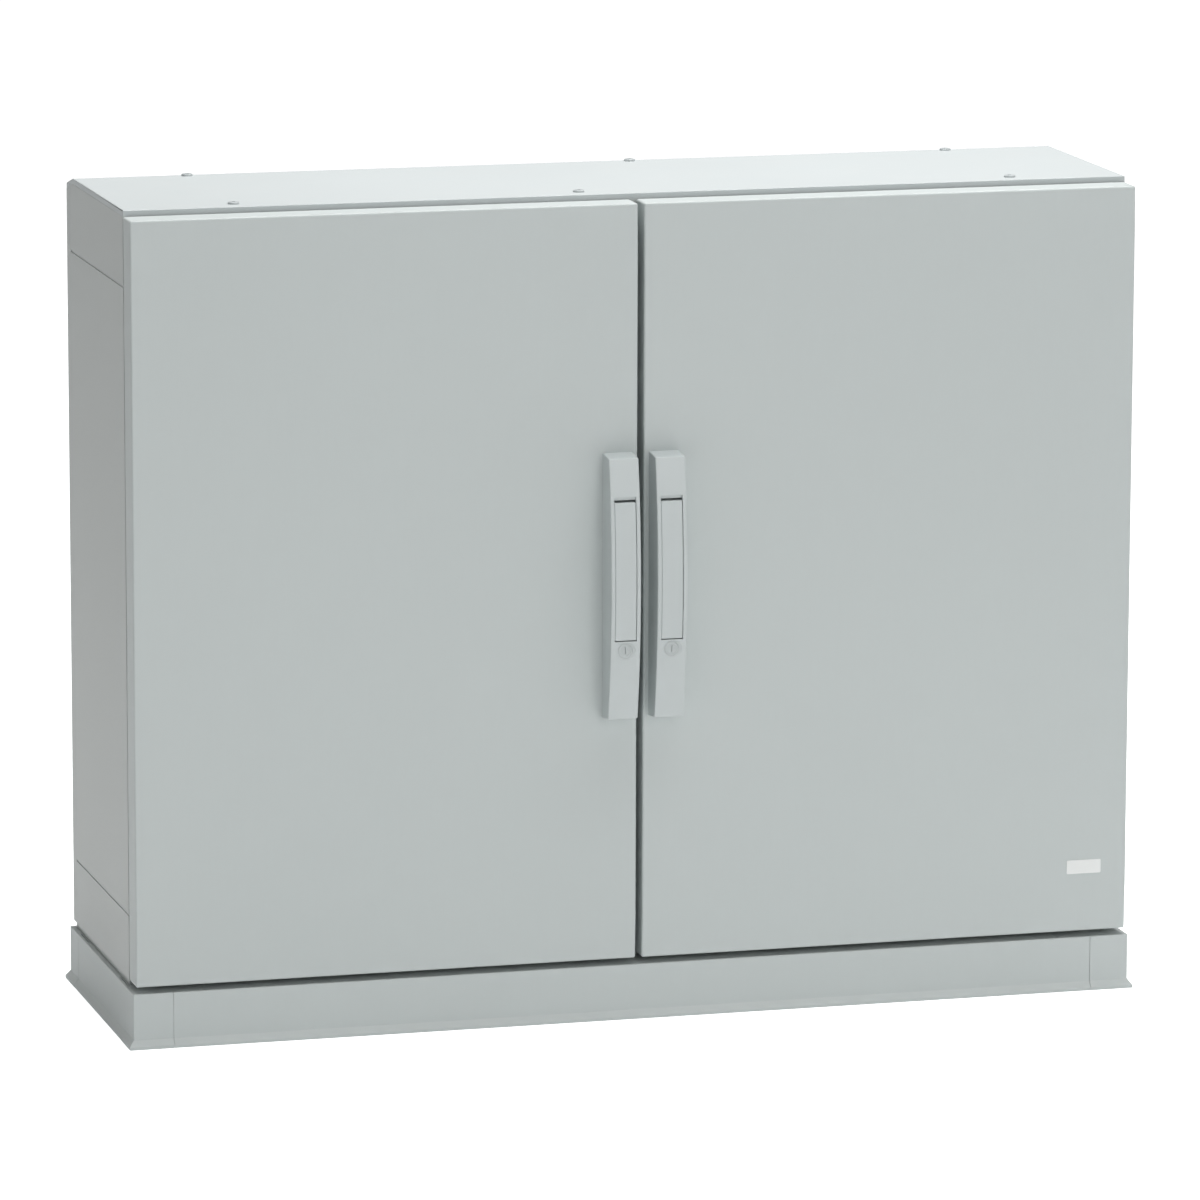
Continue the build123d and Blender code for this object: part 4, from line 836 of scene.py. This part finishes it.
def model_crank(boss):
    """The crank: a flat bar with a round end, from the pivot up into the door."""
    crank_pin = Vector((boss[0], PIN_HIGH.y - PIN_RADIUS, PIN_HIGH.z - PIN_RADIUS))
    reach = crank_pin - Vector(boss)
    low = (boss[0] - CRANK_HALF_WIDTH, boss[1], boss[2] - CRANK_HALF_HEIGHT)
    high = (boss[0] + CRANK_HALF_WIDTH, boss[1] + reach.length, boss[2] + CRANK_HALF_HEIGHT)
    bar = block("crank", low, high)
    tip = (boss[0], boss[1] + reach.length, boss[2])
    weld(bar, round_bar("tip", "X", tip, CRANK_HALF_HEIGHT, (low[0], high[0])))
    hole_span = (low[0] - CLEAR, high[0] + CLEAR)
    carve(bar, round_bar("hole", "X", tip, PIN_RADIUS, hole_span, 32))
    edit(bar)
    bpy.ops.mesh.select_all(action="SELECT")
    tilt = math.atan2(reach.z, reach.y)
    bpy.ops.transform.rotate(value=-tilt, orient_axis="X", center_override=boss)
    clear_selection()
    return bar


def model_lock():
    """The right lock: a turned barrel with a bevelled face, a shallow keyway and the cam."""
    middle = LOCK_AXIS[0]
    radius = (LOCK_HIGH.z - LOCK_LOW.z) / 2
    centre = (middle, 0, LOCK_AXIS[2])
    barrel = round_bar("right_lock_barrel", "Y", centre, radius, (LOCK_LOW.y, LOCK_AXIS[1]), 64)
    edit(barrel)
    pick(barrel, "FACE", lambda f: f.normal.y < -0.9)
    bpy.ops.mesh.inset(thickness=LOCK_BEVEL, depth=0.0)
    shift(y=-LOCK_BEVEL_RISE)
    bpy.ops.mesh.inset(thickness=LOCK_RIM, depth=0.0)
    bpy.ops.mesh.inset(thickness=LOCK_STEP, depth=0.0)
    shift(y=LOCK_FACE_SINK)
    clear_selection()
    key_low, key_high = LOCK_AXIS[2] - KEYWAY_HALF_HEIGHT, LOCK_AXIS[2] + KEYWAY_HALF_HEIGHT
    slot_low = (middle - KEYWAY_HALF_WIDTH, LOCK_LOW.y - 2 * CLEAR, key_low)
    slot_high = (middle + KEYWAY_HALF_WIDTH, LOCK_LOW.y + KEYWAY_DEPTH, key_high)
    carve(barrel, block("keyway", slot_low, slot_high))
    hub_span = (LOCK_AXIS[1] - 0.1 * MM, LOCK_HIGH.y)
    weld(barrel, round_bar("hub", "Y", centre, LOCK_HUB_RADIUS, hub_span, 40))
    cam_low = (middle, LOCK_AXIS[1], LOCK_AXIS[2] - CAM_HALF_HEIGHT)
    cam_high = (LOCK_HIGH.x, LOCK_HIGH.y, LOCK_AXIS[2] + CAM_HALF_HEIGHT)
    cam = block("cam", cam_low, cam_high)
    edit(cam)
    pick(cam, "EDGE", lambda e: all(near(v.co.x, LOCK_HIGH.x) for v in e.verts) and along(e, 1))
    bpy.ops.mesh.bevel(offset=CAM_CORNER_ROUND, segments=4, affect="EDGES")
    weld(barrel, cam)
    return barrel


def along(edge, index):
    """True for an edge along one axis."""
    first, second = (v.co for v in edge.verts)
    return all(near(first[other], second[other]) for other in range(3) if other != index)


def make_pair(name, right, nodes, bodies, material):
    """Finishes a right-hand piece and its left-hand copy."""
    left = mirrored_copy(right, "left_" + name)
    for side, piece in (("right_", right), ("left_", left)):
        smooth(piece)
        seat(piece, side + bodies, [side + node for node in nodes], material)


class ENCLOSURE_OT_handles(bpy.types.Operator):
    """Model the two bowed handle bodies"""

    bl_idname = "enclosure.handles"
    bl_label = "Handles"

    def execute(self, context):
        plastic = handle_plastic("handle plastic", tuple(finish().handle))
        make_pair("handle_body", model_housing(), ["handle_housing"], "door", plastic)
        return {"FINISHED"}


class ENCLOSURE_OT_levers(bpy.types.Operator):
    """Model the two pull levers"""

    bl_idname = "enclosure.levers"
    bl_label = "Levers"

    def execute(self, context):
        plastic = handle_plastic("handle plastic", tuple(finish().handle))
        make_pair("pull_lever", model_lever(), ["lever"], "lever", plastic)
        return {"FINISHED"}


class ENCLOSURE_OT_locks(bpy.types.Operator):
    """Model the two lock barrels"""

    bl_idname = "enclosure.locks"
    bl_label = "Locks"

    def execute(self, context):
        cover = handle_plastic("lock cover plastic", scaled(tuple(finish().handle), 0.93))
        make_pair("lock_barrel", model_lock(), ["lock_cylinder"], "lock", cover)
        return {"FINISHED"}


# ---------------------------------------------------------------- roof, body, plinth, seals
def model_roof():
    """The roof: a plate that falls away at the back, with rounded edges."""
    size = sizes()
    low = (ROOF_LOW.x, ROOF_LOW.y, ROOF_HIGH.z - size.roof_thickness)
    roof = block("roof_cover", low, ROOF_HIGH)
    edit(roof)
    cut_plane("Y", ROOF_HIGH.y - size.roof_slope_run)
    pick(roof, "VERT", lambda v: near(v.co.y, ROOF_HIGH.y))
    shift(z=-size.roof_slope_fall)
    pick(roof, "EDGE", is_roof_rim)
    bpy.ops.mesh.bevel(offset=size.roof_round, segments=4, profile=0.5, affect="EDGES")
    pick(roof, "EDGE", is_roof_fold)
    bpy.ops.mesh.bevel(offset=size.roof_fold_round, segments=4, profile=0.5, affect="EDGES")
    clear_selection()
    return roof


def is_roof_rim(edge):
    """True for the upper outline of the roof."""
    if len(edge.link_faces) != 2:
        return False
    upward = [face.normal.z > 0.9 for face in edge.link_faces]
    sideways = [abs(face.normal.x) > 0.9 or abs(face.normal.y) > 0.9 for face in edge.link_faces]
    return any(upward) and any(sideways)


def is_roof_fold(edge):
    """True for the long line where the roof begins to fall."""
    long_line = abs(edge.verts[0].co.x - edge.verts[1].co.x) > 1.0
    return long_line and math.radians(5) < edge.calc_face_angle(0.0) < math.radians(30)


class ENCLOSURE_OT_roof(bpy.types.Operator):
    """Model the roof and finish its screws"""

    bl_idname = "enclosure.roof"
    bl_label = "Roof"

    def execute(self, context):
        roof = model_roof()
        smooth(roof)
        material = polyester("roof polyester", tuple(finish().roof), dust=0.2)
        seat(roof, "root", ["roof"], material)
        caps = handle_plastic("screw cap plastic", scaled(tuple(finish().roof), 0.82))
        paint_node("roof_screws", caps)
        return {"FINISHED"}


BODY_PANELS = (
    "left_side_panel",
    "right_side_panel",
    "rear_panel",
    "bottom_frame",
    "top_frame",
    "centre_post",
    "left_entry_plate",
    "right_entry_plate",
)
PLINTH_CORNERS = [f"plinth_corner_{y}_{x}" for y in ("front", "rear") for x in ("left", "right")]
PLINTH_PANELS = [f"plinth_panel_{side}" for side in ("front", "rear", "left", "right")]


class ENCLOSURE_OT_body(bpy.types.Operator):
    """Soften the body's panels and frames"""

    bl_idname = "enclosure.body"
    bl_label = "Body panels"

    def execute(self, context):
        for node in BODY_PANELS:
            piece = soften(node, sizes().soft_edge)
            dress(piece, body_finish())
        return {"FINISHED"}


class ENCLOSURE_OT_plinth(bpy.types.Operator):
    """Soften the plinth's corners and panels"""

    bl_idname = "enclosure.plinth"
    bl_label = "Plinth"

    def execute(self, context):
        material = polyester("plinth polyester", tuple(finish().plinth), dust=0.3)
        for node in PLINTH_CORNERS + PLINTH_PANELS:
            piece = soften(node, sizes().soft_edge)
            dress(piece, material)
        return {"FINISHED"}


class ENCLOSURE_OT_seals(bpy.types.Operator):
    """Round off the foam door seals"""

    bl_idname = "enclosure.seals"
    bl_label = "Seals"

    def execute(self, context):
        for side in ("left", "right"):
            piece = soften(side + "_door_gasket", sizes().seal_round, segments=4)
            dress(piece, foam())
        return {"FINISHED"}


LABEL_STEP = 0.3 * MM
LABEL_SINK = 0.25 * MM


class ENCLOSURE_OT_label(bpy.types.Operator):
    """Model the blank label plate"""

    bl_idname = "enclosure.label"
    bl_label = "Blank label"

    def execute(self, context):
        low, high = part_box("blank_label_plate")
        label = block("blank_label", low, high)
        edit(label)
        pick(label, "EDGE", lambda e: along(e, 1))
        bpy.ops.mesh.bevel(offset=sizes().label_corner, segments=4, affect="EDGES")
        pick(label, "FACE", lambda f: f.normal.y < -0.9)
        bpy.ops.mesh.inset(thickness=sizes().label_border, depth=0.0)
        bpy.ops.mesh.inset(thickness=LABEL_STEP, depth=0.0)
        shift(y=LABEL_SINK)
        clear_selection()
        smooth(label)
        seat(label, "right_door", ["blank_label_plate"], film())
        return {"FINISHED"}


# ---------------------------------------------------------------- inner hardware
def paint_node(node, material):
    """Gives a CAD node a better material."""
    item = NODES[node]
    if not item.material_slots:
        item.data.materials.append(material)
    for slot in item.material_slots:
        slot.material = material


class ENCLOSURE_OT_hardware(bpy.types.Operator):
    """Finish the metal and nylon pieces inside"""

    bl_idname = "enclosure.hardware"
    bl_label = "Hardware"

    def execute(self, context):
        steel = zinc("zinc-plated steel", tuple(finish().steel))
        bright = zinc("bright steel", tuple(finish().bright), 0.18, 0.30)
        brass = zinc("terminal brass", tuple(finish().brass), 0.25, 0.40)
        plated = ["mounting_plate", "keepers"]
        for side in ("left_", "right_"):
            hinged = ("hinge_arms", "hinge_leaves", "lock_case", "cam_disc", "upper_rod", "lower_rod")
            plated += [side + name for name in (*hinged, "mounting_rail")]
            paint_node(side + "rod_guides", nylon())
        for node in plated:
            paint_node(node, steel)
        paint_node("earth_terminal", brass)
        screws = [node for node in NODES if node.endswith("_screws") and node != "roof_screws"]
        pins = [node for node in NODES if node.endswith("_pins")]
        for node in (*screws, *pins, "plinth_bolts"):
            paint_node(node, bright)
        return {"FINISHED"}


# ---------------------------------------------------------------- stage
CAMERA_PLACE = (-2.519, -9.1875, 2.298)
CAMERA_YAW = 15.34
CAMERA_PITCH = 10.78
CAMERA_ROLL = 0.15
CAMERA_LENS = 236.2
CAMERA_SENSOR = 36.0
FLOOR_WIDTH = 40.0
FLOOR_SEEN_GLOW = 0.68
FLOOR_BOUNCE = 0.17
ROOM_FILL = 0.225
STAGE_MIDDLE = (0.0, 0.0, 0.5)
# Name, place, width, height and power of each light.
LIGHTS = (
    ("overhead", (0.6, 0.2, 4.2), 3.6, 3.0, 176.0),
    ("front", (0.8, -6.6, 2.6), 4.0, 3.0, 100.0),
    ("rear", (-2.4, 6.0, 2.6), 4.0, 3.0, 38.0),
)


def make_camera():
    """The camera at the viewing angle."""
    data = bpy.data.cameras.new("camera")
    data.lens = CAMERA_LENS
    data.sensor_width = CAMERA_SENSOR
    camera = bpy.data.objects.new("camera", data)
    bpy.context.scene.collection.objects.link(camera)
    turn = Matrix.Rotation(math.radians(-CAMERA_YAW), 4, "Z")
    tip = Matrix.Rotation(math.radians(90.0 - CAMERA_PITCH), 4, "X")
    roll = Matrix.Rotation(math.radians(CAMERA_ROLL), 4, "Z")
    camera.matrix_world = Matrix.Translation(CAMERA_PLACE) @ turn @ tip @ roll
    bpy.context.scene.camera = camera


def soft_light(name, place, width, height, power):
    """A large area light aimed at the middle of the stage."""
    data = bpy.data.lights.new(name, "AREA")
    data.shape = "RECTANGLE"
    data.size = width
    data.size_y = height
    data.energy = power
    light = bpy.data.objects.new(name, data)
    bpy.context.scene.collection.objects.link(light)
    light.location = place
    light.rotation_mode = "QUATERNION"
    light.rotation_quaternion = (Vector(STAGE_MIDDLE) - Vector(place)).to_track_quat("-Z", "Y")


def make_world():
    """A white room: the camera sees plain white, and the rest gets a softer fill."""
    world = bpy.data.worlds.new("white room")
    bpy.context.scene.world = world
    world.use_nodes = True
    tree = world.node_tree
    seen = tree.nodes.new("ShaderNodeBackground")
    seen.inputs["Strength"].default_value = 1.0
    fill = tree.nodes["Background"]
    fill.inputs["Strength"].default_value = ROOM_FILL
    for node in (seen, fill):
        node.inputs["Color"].default_value = (1.0, 1.0, 1.0, 1.0)
    path = tree.nodes.new("ShaderNodeLightPath")
    mix = tree.nodes.new("ShaderNodeMixShader")
    tree.links.new(path.outputs["Is Camera Ray"], mix.inputs["Fac"])
    tree.links.new(fill.outputs[0], mix.inputs[1])
    tree.links.new(seen.outputs[0], mix.inputs[2])
    tree.links.new(mix.outputs[0], tree.nodes["World Output"].inputs["Surface"])


def make_floor():
    """A wide pale floor."""
    clear_selection()
    bpy.ops.mesh.primitive_plane_add(size=FLOOR_WIDTH, location=(0.0, 0.0, 0.0))
    floor = bpy.context.object
    floor.name = "floor"
    made = Finish("pale floor")
    grain = noise(made.tree, 30.0, 2.0)
    made.tree.links.new(made.place, grain.inputs["Vector"])
    base = tuple(finish().floor)
    made.paint(made.blend(grain.outputs["Fac"], scaled(base, 0.995), base))
    made.shader.inputs["Roughness"].default_value = 0.9
    made.shader.inputs["Specular IOR Level"].default_value = 0.1
    made.shader.inputs["Emission Color"].default_value = (1.0, 1.0, 1.0, 1.0)
    path = made.tree.nodes.new("ShaderNodeLightPath")
    seen = maths(made.tree, "MULTIPLY", path.outputs["Is Camera Ray"], FLOOR_SEEN_GLOW)
    glow = maths(made.tree, "ADD", seen, FLOOR_BOUNCE)
    made.tree.links.new(glow, made.shader.inputs["Emission Strength"])
    floor.data.materials.append(made.material)


class ENCLOSURE_OT_stage(bpy.types.Operator):
    """Set up the camera, the floor and the studio light"""

    bl_idname = "enclosure.stage"
    bl_label = "Stage"

    def execute(self, context):
        make_camera()
        make_floor()
        make_world()
        for light in LIGHTS:
            soft_light(*light)
        context.scene.view_settings.view_transform = "Standard"
        context.scene.view_settings.look = "None"
        return {"FINISHED"}


# ---------------------------------------------------------------- panel and registration
PIECE_OPERATORS = (
    ENCLOSURE_OT_stage,
    ENCLOSURE_OT_doors,
    ENCLOSURE_OT_handles,
    ENCLOSURE_OT_levers,
    ENCLOSURE_OT_locks,
    ENCLOSURE_OT_roof,
    ENCLOSURE_OT_body,
    ENCLOSURE_OT_plinth,
    ENCLOSURE_OT_seals,
    ENCLOSURE_OT_label,
    ENCLOSURE_OT_hardware,
)


class ENCLOSURE_PT_sidebar(bpy.types.Panel):
    """Lists the pieces of the enclosure"""

    bl_idname = "ENCLOSURE_PT_sidebar"
    bl_label = "Utility enclosure"
    bl_space_type = "VIEW_3D"
    bl_region_type = "UI"
    bl_category = "Enclosure"

    def draw(self, context):
        for operator in PIECE_OPERATORS:
            self.layout.operator(operator.bl_idname)
        for group in (context.scene.enclosure_sizes, context.scene.enclosure_finish):
            column = self.layout.column()
            for name in group.__annotations__:
                column.prop(group, name)


CLASSES = (EnclosureSizes, EnclosureFinish, *PIECE_OPERATORS, ENCLOSURE_PT_sidebar)


def register():
    for item in CLASSES:
        bpy.utils.register_class(item)
    bpy.types.Scene.enclosure_sizes = bpy.props.PointerProperty(type=EnclosureSizes)
    bpy.types.Scene.enclosure_finish = bpy.props.PointerProperty(type=EnclosureFinish)


def unregister():
    del bpy.types.Scene.enclosure_finish
    del bpy.types.Scene.enclosure_sizes
    for item in reversed(CLASSES):
        bpy.utils.unregister_class(item)


def main():
    register()
    bpy.ops.enclosure.stage()
    bpy.ops.enclosure.doors()
    bpy.ops.enclosure.handles()
    bpy.ops.enclosure.levers()
    bpy.ops.enclosure.locks()
    bpy.ops.enclosure.roof()
    bpy.ops.enclosure.body()
    bpy.ops.enclosure.plinth()
    bpy.ops.enclosure.seals()
    bpy.ops.enclosure.label()
    bpy.ops.enclosure.hardware()


if __name__ == "__main__":
    main()
